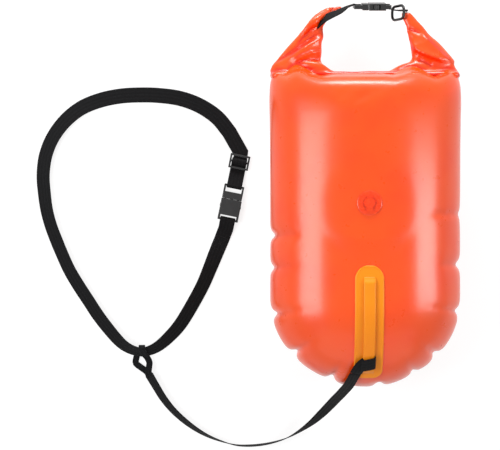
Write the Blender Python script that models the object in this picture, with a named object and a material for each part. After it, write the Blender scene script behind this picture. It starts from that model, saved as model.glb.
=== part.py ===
# Open water swim buoy: an inflated dry bag with a clipped roll top, a valve, a tow patch,
# a tow leash and an adjustable waist belt. It lies on its back with the straps beside it.
# Units are metres. The origin is on the floor under the middle of the bag, +Y runs towards
# the handle and +Z is up.

import math

import bmesh
import bpy
from mathutils import Matrix, Vector

# Clearances
GAP = 0.0003             # between faces that touch on the real object
SKIN_GAP = 0.0004        # between the faceted bag and what is welded onto it
OVERRUN = 0.004          # how far a cutter reaches past what it cuts

# Bag
BAG_WIDTH = 0.309
BAG_LENGTH = 0.616       # from the foot of the bag to the top of the handle
HANDLE_SPAN = 0.1215     # from the roll to the top of the handle
FOOT_LENGTH = 0.139      # the rounded lower end
SHOULDER_LENGTH = 0.088  # where the bulge falls to the roll
SHOULDER_DRAW = 0.004    # how far each side is drawn in at the roll
SEAM_HEIGHT = 0.085
FRONT_BULGE = 0.098
BACK_BULGE = 0.090       # a little more than the seam's height, so the back rests flat
PANEL_THICKNESS = 0.0007
SEAM_WIDTH = 0.0025      # width of the weld between the two panels
LINER_THICKNESS = 0.0005
LINER_SAG = 0.012
FOOT_ROWS = 13
MIDDLE_ROWS = 6
SHOULDER_ROWS = 9
PANEL_COLUMNS = 26

# Roll and horns
ROLL_DEPTH = 0.0082      # along the bag
ROLL_HEIGHT = 0.044
ROLL_LENGTH = 0.296
ROLL_ROUNDING = 0.003
STIFFENER_THICKNESS = 0.0015
STIFFENER_HEIGHT = 0.021
HORN_SIDES = 16
LEFT_HORN_WIDTH = 0.0980
LEFT_HORN_LENGTH = 0.1065
LEFT_HORN_LEAN = 0.0502
LEFT_HORN_FOOT_X = -0.1036
RIGHT_HORN_WIDTH = 0.1130
RIGHT_HORN_LENGTH = 0.0957
RIGHT_HORN_LEAN = 0.0287
RIGHT_HORN_FOOT_X = 0.0927
HORN_THICKNESS = 0.030
FLAP_DROP = 0.0105       # how far the left horn's outer flap lies under the strap
# Shares along the horn: height, lean, width, thickness, drop of the middle
LEFT_HORN_SHARES = (
    (0.0, 0.0, 1.0, 1.0, 0.0),
    (0.0985, -0.070, 0.845, 1.0, 0.0),
    (0.1643, -0.050, 0.735, 1.0, 0.0),
    (0.2947, 0.078, 0.639, 0.92, 0.0),
    (0.4150, 0.187, 0.522, 0.8, 0.0),
    (0.5345, 0.333, 0.441, 0.66, 0.05),
    (0.6549, 0.424, 0.323, 0.52, 0.2),
    (0.7744, 0.583, 0.309, 0.32, 0.7),
    (0.8947, 0.741, 0.220, 0.2, 1.0),
    (0.9833, 1.0, 0.147, 0.14, 1.0),
)
RIGHT_HORN_SHARES = (
    (0.0, 0.0, 1.0, 1.0, 0.0),
    (0.1097, -0.220, 0.774, 1.0, 0.0),
    (0.1829, -0.533, 0.619, 1.0, 0.0),
    (0.3300, -0.334, 0.514, 0.92, 0.0),
    (0.4770, -0.073, 0.421, 0.8, 0.0),
    (0.6241, 0.265, 0.310, 0.62, 0.0),
    (0.7549, 0.477, 0.248, 0.48, 0.0),
    (0.8856, 0.784, 0.198, 0.34, 0.0),
    (1.0, 1.0, 0.136, 0.26, 0.0),
)

# Inflation valve
VALVE_RISE = 0.2923      # from the foot of the bag
FLANGE_RADIUS = 0.0192
FLANGE_THICKNESS = 0.0010
STEM_RADIUS = 0.0096
STEM_BORE_RADIUS = 0.0065
STEM_LENGTH = 0.022
STEM_FOOT_RADIUS = 0.0112
STEM_FOOT_THICKNESS = 0.0016
STEM_SIDE_GAP = 0.0004
PLUG_RADIUS = 0.0082
PLUG_THICKNESS = 0.0016
SPIGOT_TOP_RADIUS = 0.0061
SPIGOT_END_RADIUS = 0.0048
SPIGOT_LENGTH = 0.0050
TETHER_WIDTH = 0.0100
TETHER_LUG_LENGTH = 0.0027
PULL_TAB_REACH = 0.0123
FLAP_RADIUS = 0.0088
FLAP_THICKNESS = 0.0008
ROUND_SIDES = 28

# Tow patch
PATCH_RISE = 0.197       # from the foot of the bag to the top of the patch
PATCH_LENGTH = 0.190
PATCH_WIDTH = 0.0448
PATCH_THICKNESS = 0.0010
STRIP_WIDTH = 0.0178
STRIP_THICKNESS = 0.0012
STRIP_START = 0.0185
STRIP_END_MARGIN = 0.0125
STRIP_LIFT = 0.0034
STRIP_RAMP = 0.0100
HITCH_END_MARGIN = 0.0220
HITCH_WIDTH = 0.0200
PATCH_STEP = 0.006

# Webbing
LEASH_WIDTH = 0.020
LEASH_THICKNESS = 0.0014
EYE_WIDTH = 0.0105       # the leash is folded in half lengthwise in its eye
EYE_THICKNESS = 0.0024
BELT_WIDTH = 0.025
BELT_THICKNESS = 0.0015
HANDLE_WEB_WIDTH = 0.019
HANDLE_WEB_THICKNESS = 0.0015

# Side release buckle, the same at the waist and on the handle. In its own frame +Y runs
# from the socket to the clip, X is across the webbing and Z is its thickness.
BUCKLE_WIDTH = 0.034
SOCKET_THICKNESS = 0.0110
SOCKET_END = -0.0298
SOCKET_MOUTH = 0.0060
CAVITY_WIDTH = 0.0276
CAVITY_THICKNESS = 0.0072
CAVITY_END = -0.0175
WINDOW_START = -0.0123
WINDOW_END = -0.0007
TAIL_START = -0.0212
TAIL_THICKNESS = 0.0064
SLOT_WIDTH = 0.0268
BAR_LENGTH = 0.0034      # along the buckle
BAR_THICKNESS = 0.0036
SOCKET_BAR_Y = -0.0278
CLIP_BAR_Y = 0.0282
CLIP_WIDTH = 0.033
CLIP_THICKNESS = 0.0100
CLIP_FRAME_START = 0.0160
CLIP_SLOT_START = 0.0178
CLIP_FRAME_THICKNESS = 0.0060
TONGUE_WIDTH = 0.0050
TONGUE_THICKNESS = 0.0060
TONGUE_END = -0.0140
PRONG_THICKNESS = 0.0064
PRONG_POCKET_DEPTH = 0.0037
PRONG_POCKET_WIDTH = 0.0060
PRONG_ROOT_X = 0.0100
PRONG_AXIS_Y = 0.0080
BUCKLE_BEVEL = 0.0011
PRONG_BULGE = 0.0077      # from its root line to the side of the press pad
PRONG_START = 0.0090
PRONG_LENGTH = 0.0208
# Prong outline: shares of the bulge, out from the root line, and of the length, from its root
PRONG_SHARES = (
    (-0.26, 0.0),
    (0.26, 0.0),
    (0.32, 0.385),
    (0.44, 0.495),
    (0.91, 0.524),
    (1.0, 0.697),
    (0.88, 0.913),
    (0.52, 1.0),
    (0.16, 0.952),
    (-0.03, 0.673),
    (-0.18, 0.337),
)

# Three-bar slider on the belt, in the buckle's frame
SLIDER_Y = 0.069
SLIDER_WIDTH = 0.033
SLIDER_LENGTH = 0.0240
SLIDER_THICKNESS = 0.0030
SLIDER_SLOT_START = 0.0018
SLIDER_SLOT_END = 0.0088
SLIDER_BEVEL = 0.0007
SLIDER_Z = 0.0055        # above the floor

# Where the buckles lie
WAIST_X = -0.2148
WAIST_RISE = 0.2947      # from the foot of the bag
WAIST_Z = 0.0058         # above the floor
WAIST_TURN = math.radians(-11.4)
HANDLE_X = 0.0112
HANDLE_RISE = 0.1127     # from the roll
HANDLE_TURN = math.radians(-78.0)

# Handle ring: an oval ring threaded on the tab
RING_HALF_WIDTH = 0.0160
RING_HEIGHT = 0.0215
RING_WIRE_RADIUS = 0.0022
RING_X = 0.0527
RING_RISE = 0.1135       # from the roll
RING_TILT = math.radians(60.0)
RING_SIDES = 8
RING_CORNER_RADIUS = 0.0078
RING_CORNER_STEPS = 5

# Routes, chosen by hand: place of the middle of the webbing and its tilt in degrees
ROUTES_FOOT_Y = -0.308   # where the foot of the bag is in the routes of the leash and the belt
ROUTES_ROLL_Y = 0.1865   # where the roll starts in the routes of the handle
LEASH_ROUTE = (
    (-0.0196, -0.2806, 0.1502, 27),
    (-0.0240, -0.2908, 0.1386, 28),
    (-0.0290, -0.3020, 0.1230, 28),
    (-0.0370, -0.3150, 0.1010, 30),
    (-0.0460, -0.3280, 0.0780, 31),
    (-0.0560, -0.3420, 0.0570, 34),
    (-0.0670, -0.3560, 0.0400, 40),
    (-0.0810, -0.3710, 0.0260, 53),
    (-0.0970, -0.3840, 0.0170, 67),
    (-0.1180, -0.3970, 0.0120, 80),
    (-0.1390, -0.4050, 0.0108, 87),
    (-0.1620, -0.4100, 0.0106, 90),
    (-0.1850, -0.4120, 0.0106, 90),
    (-0.2070, -0.4110, 0.0106, 86),
    (-0.2300, -0.4050, 0.0105, 78),
    (-0.2530, -0.3960, 0.0104, 70),
    (-0.2740, -0.3840, 0.0100, 62),
    (-0.2940, -0.3690, 0.0095, 56),
    (-0.3120, -0.3520, 0.0090, 52),
    (-0.3270, -0.3330, 0.0088, 48),
    (-0.3380, -0.3150, 0.0085, 46),
    (-0.3455, -0.3025, 0.0082, 44),
    (-0.3497, -0.2955, 0.0080, 42),
)
# The eye's two legs. Between them it goes over the belt, round its inner edge and back under it.
EYE_OVER_LEG = (
    (-0.3503, -0.2944, 0.0099),
    (-0.3513, -0.2922, 0.0100),
    (-0.3508, -0.2870, 0.0101),
    (-0.3492, -0.2810, 0.0098),
    (-0.3488, -0.2750, 0.0088),
)
EYE_UNDER_LEG = (
    (-0.3735, -0.2765, 0.0022),
    (-0.3715, -0.2820, 0.0034),
    (-0.3660, -0.2875, 0.0048),
    (-0.3590, -0.2910, 0.0060),
    (-0.3526, -0.2914, 0.0070),
    (-0.3505, -0.2941, 0.0072),
)
# Where it crosses the belt: place in X, and how far across the belt as a share of its half width
EYE_OVER_PLACES = ((-0.3540, -1.0), (-0.3575, -0.1), (-0.3592, 0.6))
EYE_TURN_X = -0.3598
EYE_TURN_STEPS = 4
EYE_UNDER_PLACES = ((-0.3604, 0.6), (-0.3630, -0.1), (-0.3680, -0.9), (-0.3695, -1.2))
EYE_SLACK = 0.0018
BELT_ROUTE = (
    (-0.2305, -0.0740, 0.0016, 2),
    (-0.2400, -0.0970, 0.0040, 12),
    (-0.2500, -0.1220, 0.0060, 22),
    (-0.2610, -0.1480, 0.0070, 27),
    (-0.2770, -0.1780, 0.0072, 28),
    (-0.2970, -0.2110, 0.0078, 30),
    (-0.3150, -0.2320, 0.0090, 36),
    (-0.3350, -0.2490, 0.0140, 44),
    (-0.3540, -0.2570, 0.0175, 50),
    (-0.3670, -0.2570, 0.0175, 50),
    (-0.3840, -0.2510, 0.0145, 44),
    (-0.4020, -0.2370, 0.0100, 36),
    (-0.4300, -0.2030, 0.0078, 30),
    (-0.4500, -0.1730, 0.0075, 29),
    (-0.4670, -0.1470, 0.0072, 28),
    (-0.4810, -0.1230, 0.0074, 29),
    (-0.4920, -0.0990, 0.0074, 29),
    (-0.5020, -0.0750, 0.0072, 28),
    (-0.5110, -0.0510, 0.0074, 29),
    (-0.5180, -0.0250, 0.0072, 28),
    (-0.5220, 0.0030, 0.0066, 25),
    (-0.5240, 0.0330, 0.0062, 23),
    (-0.5200, 0.0650, 0.0056, 20),
    (-0.5080, 0.0950, 0.0052, 18),
    (-0.4880, 0.1220, 0.0042, 14),
    (-0.4620, 0.1430, 0.0034, 10),
    (-0.4310, 0.1560, 0.0022, 5),
    (-0.3980, 0.1630, 0.0015, 2),
    (-0.3650, 0.1650, 0.0012, 0),
    (-0.3320, 0.1640, 0.0012, 0),
    (-0.2980, 0.1590, 0.0012, 0),
    (-0.2660, 0.1470, 0.0012, 0),
    (-0.2380, 0.1280, 0.0012, 0),
    (-0.2180, 0.1040, 0.0014, 0),
)
HANDLE_STRAP_ROUTE = (
    (-0.0790, 0.2680, 0.0985, 8),
    (-0.0730, 0.2738, 0.0975, 20),
    (-0.0640, 0.2797, 0.0945, 42),
    (-0.0520, 0.2858, 0.0900, 56),
    (-0.0400, 0.2916, 0.0870, 64),
    (-0.0290, 0.2984, 0.0855, 75),
)
HANDLE_TAB_ROUTE = (
    (0.0460, 0.2936, 0.0850, -102),
    (0.0540, 0.2930, 0.0850, -95),
    (0.0620, 0.2930, 0.0850, -92),
    (0.0680, 0.2924, 0.0850, -90),
)
ROUTE_STEP = 0.0055

# Colours: red, green, blue
ORANGE_FABRIC = (0.95, 0.075, 0.004)
ORANGE_VALVE = (0.92, 0.070, 0.006)
LINER_GREY = (0.55, 0.56, 0.58)
YELLOW_FABRIC = (0.98, 0.33, 0.008)
BLACK_WEBBING = (0.010, 0.010, 0.011)
BLACK_PLASTIC = (0.018, 0.018, 0.020)
STIFFENER_BLACK = (0.03, 0.03, 0.03)

BODY_FOOT_Y = -BAG_LENGTH / 2
FOOT_CENTRE_Y = BODY_FOOT_Y + FOOT_LENGTH
BODY_TOP_Y = BAG_LENGTH / 2 - HANDLE_SPAN
SHOULDER_Y = BODY_TOP_Y - SHOULDER_LENGTH
VALVE_Y = BODY_FOOT_Y + VALVE_RISE
PATCH_TOP_Y = BODY_FOOT_Y + PATCH_RISE
STRIP_LENGTH = PATCH_LENGTH - STRIP_START - STRIP_END_MARGIN
HITCH_START = PATCH_LENGTH - HITCH_END_MARGIN - HITCH_WIDTH
WAIST_PLACE = (WAIST_X, BODY_FOOT_Y + WAIST_RISE, WAIST_Z)
HANDLE_Y = BODY_TOP_Y + HANDLE_RISE
RING_TOP_Y = BODY_TOP_Y + RING_RISE
ROLL_START_Y = BODY_TOP_Y + GAP
HORN_FOOT_Y = ROLL_START_Y + ROLL_DEPTH + GAP
BUCKLE_ARC_RADIUS = math.hypot(BAR_LENGTH, BAR_THICKNESS) / 2 + GAP + BELT_THICKNESS / 2


def clear_scene():
    for thing in list(bpy.data.objects):
        bpy.data.objects.remove(thing, do_unlink=True)


def material(name, colour, roughness, metallic=0.0):
    made = bpy.data.materials.new(name)
    made.use_nodes = True
    shader = made.node_tree.nodes["Principled BSDF"]
    shader.inputs["Base Color"].default_value = (*colour, 1.0)
    shader.inputs["Roughness"].default_value = roughness
    shader.inputs["Metallic"].default_value = metallic
    return made


def add_object(name, form, finish, smooth=True):
    """Turn a bmesh into a named object with one material."""
    mesh = bpy.data.meshes.new(name)
    form.to_mesh(mesh)
    form.free()
    mesh.materials.append(finish)
    if smooth:
        mesh.shade_smooth()
        mesh.set_sharp_from_angle(angle=math.radians(35))
    made = bpy.data.objects.new(name, mesh)
    bpy.context.scene.collection.objects.link(made)
    return made


def add_empty(name, place, turn=(0.0, 0.0, 0.0), order="XYZ", parent=None):
    made = bpy.data.objects.new(name, None)
    bpy.context.scene.collection.objects.link(made)
    made.location = place
    made.rotation_mode = order
    made.rotation_euler = turn
    made.parent = parent
    return made


def block(low, high, bevel=0.0):
    """A box between two corners, with its edges rounded if a bevel is given."""
    form = bmesh.new()
    bmesh.ops.create_cube(form, size=1.0)
    for point in form.verts:
        point.co = Vector(
            (low[axis] + (high[axis] - low[axis]) * (point.co[axis] + 0.5)) for axis in range(3)
        )
    if bevel > 0.0:
        bmesh.ops.bevel(form, geom=form.edges[:], offset=bevel, segments=2, affect="EDGES",
                        profile=0.5)
    return form


def add_guide(name, form):
    made = add_object(name, form, None, smooth=False)
    made.hide_render = True
    made.display_type = "WIRE"
    return made


def combine(target, form, name, operation="DIFFERENCE"):
    """Cut a shape from an object, or join it on, with an exact Boolean."""
    guide = add_guide(name, form)
    guide.parent = target
    step = target.modifiers.new(name, "BOOLEAN")
    step.object = guide
    step.operation = operation
    step.solver = "EXACT"


def skin_between(form, first, second, closed):
    """Join two rows of points with quads."""
    count = len(first)
    last = count if closed else count - 1
    for place in range(last):
        after = (place + 1) % count
        form.faces.new((first[place], first[after], second[after], second[place]))


def sweep(rings, closed=False, caps=True):
    """A tube through rings of points. The rings run left-handed about the way ahead."""
    form = bmesh.new()
    rows = [[form.verts.new(point) for point in ring] for ring in rings]
    for before, after in zip(rows, rows[1:]):
        skin_between(form, before, after, True)
    if closed:
        skin_between(form, rows[-1], rows[0], True)
    elif caps:
        form.faces.new(rows[0][::-1])
        form.faces.new(rows[-1])
    bmesh.ops.recalc_face_normals(form, faces=form.faces[:])
    return form


def hollow_sweep(outer_rings, inner_rings):
    """A sleeve, open at both ends, between an outer and an inner tube."""
    form = bmesh.new()
    outer = [[form.verts.new(point) for point in ring] for ring in outer_rings]
    inner = [[form.verts.new(point) for point in ring] for ring in inner_rings]
    for before, after in zip(outer, outer[1:]):
        skin_between(form, before, after, True)
    for before, after in zip(inner, inner[1:]):
        skin_between(form, after, before, True)
    skin_between(form, inner[0], outer[0], True)
    skin_between(form, outer[-1], inner[-1], True)
    bmesh.ops.recalc_face_normals(form, faces=form.faces[:])
    return form


def rounded_rectangle(half_across, half_up, rounding, steps=3):
    """Corner points of a rectangle with rounded corners, as pairs."""
    points = []
    for corner, (side, rise) in enumerate(((1, 1), (-1, 1), (-1, -1), (1, -1))):
        for step in range(steps + 1):
            angle = math.radians(90.0) * (corner + step / steps)
            across = side * (half_across - rounding) + rounding * math.cos(angle)
            up = rise * (half_up - rounding) + rounding * math.sin(angle)
            points.append((across, up))
    return points


def smooth_route(points, step):
    """Points read from a smooth curve through the route's own points."""
    route = [Vector(point) for point in points]
    padded = [route[0] * 2 - route[1]] + route + [route[-1] * 2 - route[-2]]
    made = []
    for index in range(1, len(padded) - 2):
        a, b, c, d = padded[index - 1:index + 3]
        count = max(1, round((Vector(c[:3]) - Vector(b[:3])).length / step))
        for part in range(count):
            t = part / count
            made.append(0.5 * (2 * b + (c - a) * t + (2 * a - 5 * b + 4 * c - d) * t ** 2
                               + (3 * b - a - 3 * c + d) * t ** 3))
    made.append(route[-1])
    return made


def moved(route, change):
    """A route with its marks moved along the bag."""
    return [(mark[0], mark[1] + change, *mark[2:]) for mark in route]


def belt_route():
    return moved(BELT_ROUTE, BODY_FOOT_Y - ROUTES_FOOT_Y)


def route_stations(route, step):
    """Middle and across direction of the webbing at each point of a route."""
    line = smooth_route(route, step)
    stations = []
    for index, point in enumerate(line):
        before = line[max(index - 1, 0)].xyz
        after = line[min(index + 1, len(line) - 1)].xyz
        ahead = (after - before).normalized()
        level = Vector((ahead.y, -ahead.x, 0.0)).normalized()
        upward = level.cross(ahead)
        tilt = math.radians(point.w)
        stations.append((point.xyz.copy(), level * math.cos(tilt) + upward * math.sin(tilt)))
    return stations


def webbing(stations, width, thickness):
    """A flat strap through stations of a middle point and an across direction."""
    rings = []
    for index, (middle, across) in enumerate(stations):
        before = stations[max(index - 1, 0)][0]
        after = stations[min(index + 1, len(stations) - 1)][0]
        ahead = (after - before).normalized()
        side = (across - ahead * across.dot(ahead)).normalized()
        normal = side.cross(ahead)
        half_side = side * (width / 2)
        half_normal = normal * (thickness / 2)
        rings.append((middle - half_side - half_normal, middle + half_side - half_normal,
                      middle + half_side + half_normal, middle - half_side + half_normal))
    return sweep(rings)


def arc_points(centre_y, centre_z, radius, start, end, steps):
    """Points on an arc in the buckle's YZ plane. Angles are in degrees from +Y."""
    points = []
    for step in range(steps + 1):
        angle = math.radians(start + (end - start) * step / steps)
        points.append((0.0, centre_y + radius * math.cos(angle), centre_z + radius * math.sin(angle)))
    return points


# Bag surfaces

def body_rows(inset):
    """Place along the bag, half width and height share of each row, inset from the outline."""
    half = BAG_WIDTH / 2 - inset
    rows = []
    for index in range(1, FOOT_ROWS + 1):
        angle = math.radians(90.0) * (1 - index / FOOT_ROWS)
        along = FOOT_CENTRE_Y - (FOOT_LENGTH - inset) * math.sin(angle)
        rows.append((along, half * math.cos(angle), math.cos(angle)))
    for index in range(1, MIDDLE_ROWS + 1):
        share = index / MIDDLE_ROWS
        rows.append((FOOT_CENTRE_Y + (SHOULDER_Y - FOOT_CENTRE_Y) * share, half, 1.0))
    for index in range(1, SHOULDER_ROWS + 1):
        angle = math.radians(90.0) * index / SHOULDER_ROWS
        along = SHOULDER_Y + (SHOULDER_LENGTH - inset) * math.sin(angle)
        drawn = half - SHOULDER_DRAW * math.sin(angle) ** 3
        share = 0.0 if index == SHOULDER_ROWS else math.cos(angle)
        rows.append((along, drawn, share))
    return rows


def dome_points(inset, bulge, seam, lowest=None):
    """Rows of points on one side of the bag, and the point at its foot."""
    rows = []
    for along, half, share in body_rows(inset):
        row = []
        for column in range(PANEL_COLUMNS + 1):
            angle = math.pi * (column / PANEL_COLUMNS - 0.5)
            height = seam + bulge * share * math.cos(angle)
            if lowest is not None:
                height = max(height, lowest)
            row.append(Vector((half * math.sin(angle), along, height)))
        row[0].z = seam
        row[-1].z = seam
        rows.append(row)
    foot = Vector((0.0, BODY_FOOT_Y + inset, seam))
    return rows, foot


def shell(outer, inner):
    """A closed skin between an outer and an inner dome with the same rows and columns."""
    form = bmesh.new()
    layers = []
    for rows, foot in (outer, inner):
        points = [[form.verts.new(point) for point in row] for row in rows]
        tip = form.verts.new(foot)
        for before, after in zip(points, points[1:]):
            skin_between(form, before, after, False)
        for left, right in zip(points[0], points[0][1:]):
            form.faces.new((tip, right, left))
        edge = [tip] + [row[-1] for row in points] + points[-1][-2:0:-1]
        edge += [row[0] for row in reversed(points)]
        layers.append(edge)
    skin_between(form, layers[0], layers[1], True)
    bmesh.ops.recalc_face_normals(form, faces=form.faces[:])
    return form


def front_point(across, along, lift):
    """A point on the front panel's smooth outer surface, lifted along its normal."""
    def height(x, y):
        half = BAG_WIDTH / 2
        if y < FOOT_CENTRE_Y:
            share = math.sqrt(max(0.0, 1 - ((FOOT_CENTRE_Y - y) / FOOT_LENGTH) ** 2))
            half *= share
        elif y > SHOULDER_Y:
            share = math.sqrt(max(0.0, 1 - ((y - SHOULDER_Y) / SHOULDER_LENGTH) ** 2))
        else:
            share = 1.0
        return SEAM_HEIGHT + GAP / 2 + FRONT_BULGE * share * math.sqrt(max(0.0, 1 - (x / half) ** 2))
    reach = GAP
    slope_x = (height(across + reach, along) - height(across - reach, along)) / (2 * reach)
    slope_y = (height(across, along + reach) - height(across, along - reach)) / (2 * reach)
    normal = Vector((-slope_x, -slope_y, 1.0)).normalized()
    return Vector((across, along, height(across, along))) + normal * lift


def patch_line():
    """Places along the bag, one for each short step down the patch, measured on the surface."""
    places = [PATCH_TOP_Y]
    step = PATCH_WIDTH / 100
    travelled = 0.0
    while travelled < PATCH_LENGTH:
        here = front_point(0.0, places[-1], 0.0)
        below = front_point(0.0, places[-1] - step, 0.0)
        slope = (below - here).length / step
        places.append(places[-1] - step / slope)
        travelled += step
    return places, step


def make_panels(fabric):
    front_seam = SEAM_HEIGHT + GAP / 2
    back_seam = SEAM_HEIGHT - GAP / 2
    outer = dome_points(0.0, FRONT_BULGE, front_seam)
    inner = dome_points(SEAM_WIDTH, FRONT_BULGE - PANEL_THICKNESS, front_seam)
    front = add_object("front_panel", shell(outer, inner), fabric)
    hole = round_block(STEM_RADIUS + STEM_SIDE_GAP, front_seam, front_seam + FRONT_BULGE + OVERRUN)
    bmesh.ops.translate(hole, verts=hole.verts[:], vec=(0.0, VALVE_Y, 0.0))
    combine(front, hole, "valve_hole_cutter")
    outer = dome_points(0.0, -BACK_BULGE, back_seam, 0.0)
    inner = dome_points(SEAM_WIDTH, PANEL_THICKNESS - BACK_BULGE, back_seam, PANEL_THICKNESS)
    back = add_object("back_panel", shell(outer, inner), fabric)
    return front, back


def make_liner(liner_film):
    inset = SEAM_WIDTH + 2 * GAP
    upper = dome_points(inset, -LINER_SAG, SEAM_HEIGHT + LINER_THICKNESS / 2)
    lower = dome_points(inset, -LINER_SAG, SEAM_HEIGHT - LINER_THICKNESS / 2)
    return add_object("dry_liner", shell(upper, lower), liner_film)


# Roll and horns

def make_roll(fabric, stiffener_plastic):
    middle_y = ROLL_START_Y + ROLL_DEPTH / 2
    slot_depth = STIFFENER_THICKNESS + 2 * GAP
    slot_height = STIFFENER_HEIGHT + 2 * GAP
    outer = []
    inner = []
    for end in (-1, 1):
        x = end * ROLL_LENGTH / 2
        outer.append([Vector((x, middle_y + y, SEAM_HEIGHT + z)) for y, z in
                      rounded_rectangle(ROLL_DEPTH / 2, ROLL_HEIGHT / 2, ROLL_ROUNDING)])
        inner.append([Vector((x, middle_y + y, SEAM_HEIGHT + z)) for y, z in
                      rounded_rectangle(slot_depth / 2, slot_height / 2, GAP)])
    add_object("roll_band", hollow_sweep(outer, inner), fabric)
    half = Vector((ROLL_LENGTH / 2 - GAP, STIFFENER_THICKNESS / 2, STIFFENER_HEIGHT / 2))
    centre = Vector((0.0, middle_y, SEAM_HEIGHT))
    add_object("mouth_stiffener", block(centre - half, centre + half), stiffener_plastic)


def make_horn(name, foot_x, width, length, lean, shares, fabric):
    """A horn is a stack of ovals that lean towards the handle and get smaller."""
    rings = []
    for height, leaning, wide, thick, drop in shares:
        centre_x = foot_x + lean * leaning
        y = HORN_FOOT_Y + length * height
        z = SEAM_HEIGHT - FLAP_DROP * drop
        ring = []
        for side in range(HORN_SIDES):
            angle = 2 * math.pi * side / HORN_SIDES
            x = centre_x + width * wide / 2 * math.cos(angle)
            ring.append(Vector((x, y, z + HORN_THICKNESS * thick / 2 * math.sin(angle))))
        rings.append(ring)
    return add_object(name, sweep(rings), fabric)


# Valve

def round_block(radius, low, high, sides=ROUND_SIDES, end_radius=None):
    form = bmesh.new()
    rings = []
    for z, reach in ((low, end_radius if end_radius is not None else radius), (high, radius)):
        rings.append([form.verts.new((reach * math.cos(2 * math.pi * side / sides),
                                      reach * math.sin(2 * math.pi * side / sides), z))
                      for side in range(sides)])
    skin_between(form, rings[0], rings[1], True)
    form.faces.new(rings[0][::-1])
    form.faces.new(rings[1])
    return form


def turned(profile, sides=ROUND_SIDES):
    """A ring turned about Z from a closed profile of radius and height pairs."""
    rings = []
    for side in range(sides):
        angle = 2 * math.pi * side / sides
        rings.append([Vector((radius * math.cos(angle), radius * math.sin(angle), z))
                      for radius, z in profile])
    return sweep(rings, closed=True)


def make_flange(valve_plastic):
    """A collar that follows the bag's curve."""
    rings = []
    for side in range(ROUND_SIDES):
        angle = 2 * math.pi * side / ROUND_SIDES
        ring = []
        for radius, lift in (
            (STEM_RADIUS + STEM_SIDE_GAP, SKIN_GAP),
            (FLANGE_RADIUS, SKIN_GAP),
            (FLANGE_RADIUS, SKIN_GAP + FLANGE_THICKNESS / 2),
            (FLANGE_RADIUS - FLANGE_THICKNESS, SKIN_GAP + FLANGE_THICKNESS),
            (STEM_RADIUS + STEM_SIDE_GAP, SKIN_GAP + FLANGE_THICKNESS),
        ):
            x = radius * math.cos(angle)
            ring.append(front_point(x, VALVE_Y + radius * math.sin(angle), lift))
        rings.append(ring)
    return add_object("valve_flange", sweep(rings, closed=True), valve_plastic)


def make_valve(valve_plastic):
    flange_top = front_point(0.0, VALVE_Y, SKIN_GAP + FLANGE_THICKNESS).z
    lip = flange_top + GAP
    stem_empty = add_empty("valve_stem_axis", (0.0, VALVE_Y, lip))
    foot = -STEM_LENGTH
    profile = (
        (STEM_BORE_RADIUS, 0.0),
        (STEM_BORE_RADIUS, foot),
        (STEM_FOOT_RADIUS, foot),
        (STEM_FOOT_RADIUS, foot + STEM_FOOT_THICKNESS),
        (STEM_RADIUS, foot + STEM_FOOT_THICKNESS),
        (STEM_RADIUS, 0.0),
    )
    stem = add_object("valve_stem", turned(profile), valve_plastic)
    stem.parent = stem_empty
    half_tether = TETHER_WIDTH / 2
    lug_start = PLUG_RADIUS + 2 * GAP
    lug_end = STEM_RADIUS + STEM_SIDE_GAP + TETHER_LUG_LENGTH
    lug = block((-half_tether, lug_start, -GAP / 3), (half_tether, lug_end, PLUG_THICKNESS / 4))
    combine(stem, lug, "tether_lug", "UNION")

    hinge_y = PLUG_RADIUS + GAP
    plug_empty = add_empty("valve_plug_axis", (0.0, hinge_y, GAP), parent=stem_empty)
    cap = round_block(PLUG_RADIUS, 0.0, PLUG_THICKNESS)
    bmesh.ops.translate(cap, verts=cap.verts[:], vec=(0.0, -hinge_y, 0.0))
    plug = add_object("valve_plug", cap, valve_plastic)
    plug.parent = plug_empty
    spigot = round_block(SPIGOT_TOP_RADIUS, -SPIGOT_LENGTH, PLUG_THICKNESS / 2,
                         end_radius=SPIGOT_END_RADIUS)
    bmesh.ops.translate(spigot, verts=spigot.verts[:], vec=(0.0, -hinge_y, 0.0))
    combine(plug, spigot, "valve_spigot", "UNION")
    tab = block((-half_tether, -hinge_y - PULL_TAB_REACH, GAP),
                (half_tether, -hinge_y - STEM_BORE_RADIUS, PLUG_THICKNESS - GAP))
    combine(plug, tab, "pull_tab", "UNION")

    flap_empty = add_empty("valve_flap_axis", (0.0, FLAP_RADIUS, foot - GAP), parent=stem_empty)
    leaf = round_block(FLAP_RADIUS, -FLAP_THICKNESS, 0.0)
    bmesh.ops.translate(leaf, verts=leaf.verts[:], vec=(0.0, -FLAP_RADIUS, 0.0))
    flap = add_object("valve_flap", leaf, valve_plastic)
    flap.parent = flap_empty


# Tow patch

def patch_rings(start, end, half_width_at, low_at, thickness, columns):
    """Rings across the patch, from start to end along the surface."""
    places, step = patch_line()
    count = max(2, round((end - start) / PATCH_STEP))
    stations = [start + (end - start) * index / count for index in range(count + 1)]
    rings = []
    for along in stations:
        y = places[min(len(places) - 1, round(along / step))]
        half = half_width_at(along)
        low = low_at(along)
        below = []
        above = []
        for column in range(columns + 1):
            x = half * (2 * column / columns - 1)
            below.append(front_point(x, y, low))
            above.append(front_point(x, y, low + thickness))
        rings.append(below + above[::-1])
    return rings


def stadium_half_width(along):
    radius = PATCH_WIDTH / 2
    inward = min(along, PATCH_LENGTH - along)
    if inward >= radius:
        return radius
    return math.sqrt(max(radius ** 2 - (radius - inward) ** 2, (radius / 8) ** 2))


def strip_low(along):
    """The strip is welded down at both ends and stands clear in between."""
    top_of_base = SKIN_GAP + PATCH_THICKNESS + GAP
    inward = min(along - STRIP_START, STRIP_START + STRIP_LENGTH - along)
    share = min(1.0, max(0.0, inward / STRIP_RAMP))
    return top_of_base + (STRIP_LIFT - GAP) * (1 - math.cos(math.pi * share)) / 2


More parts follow.
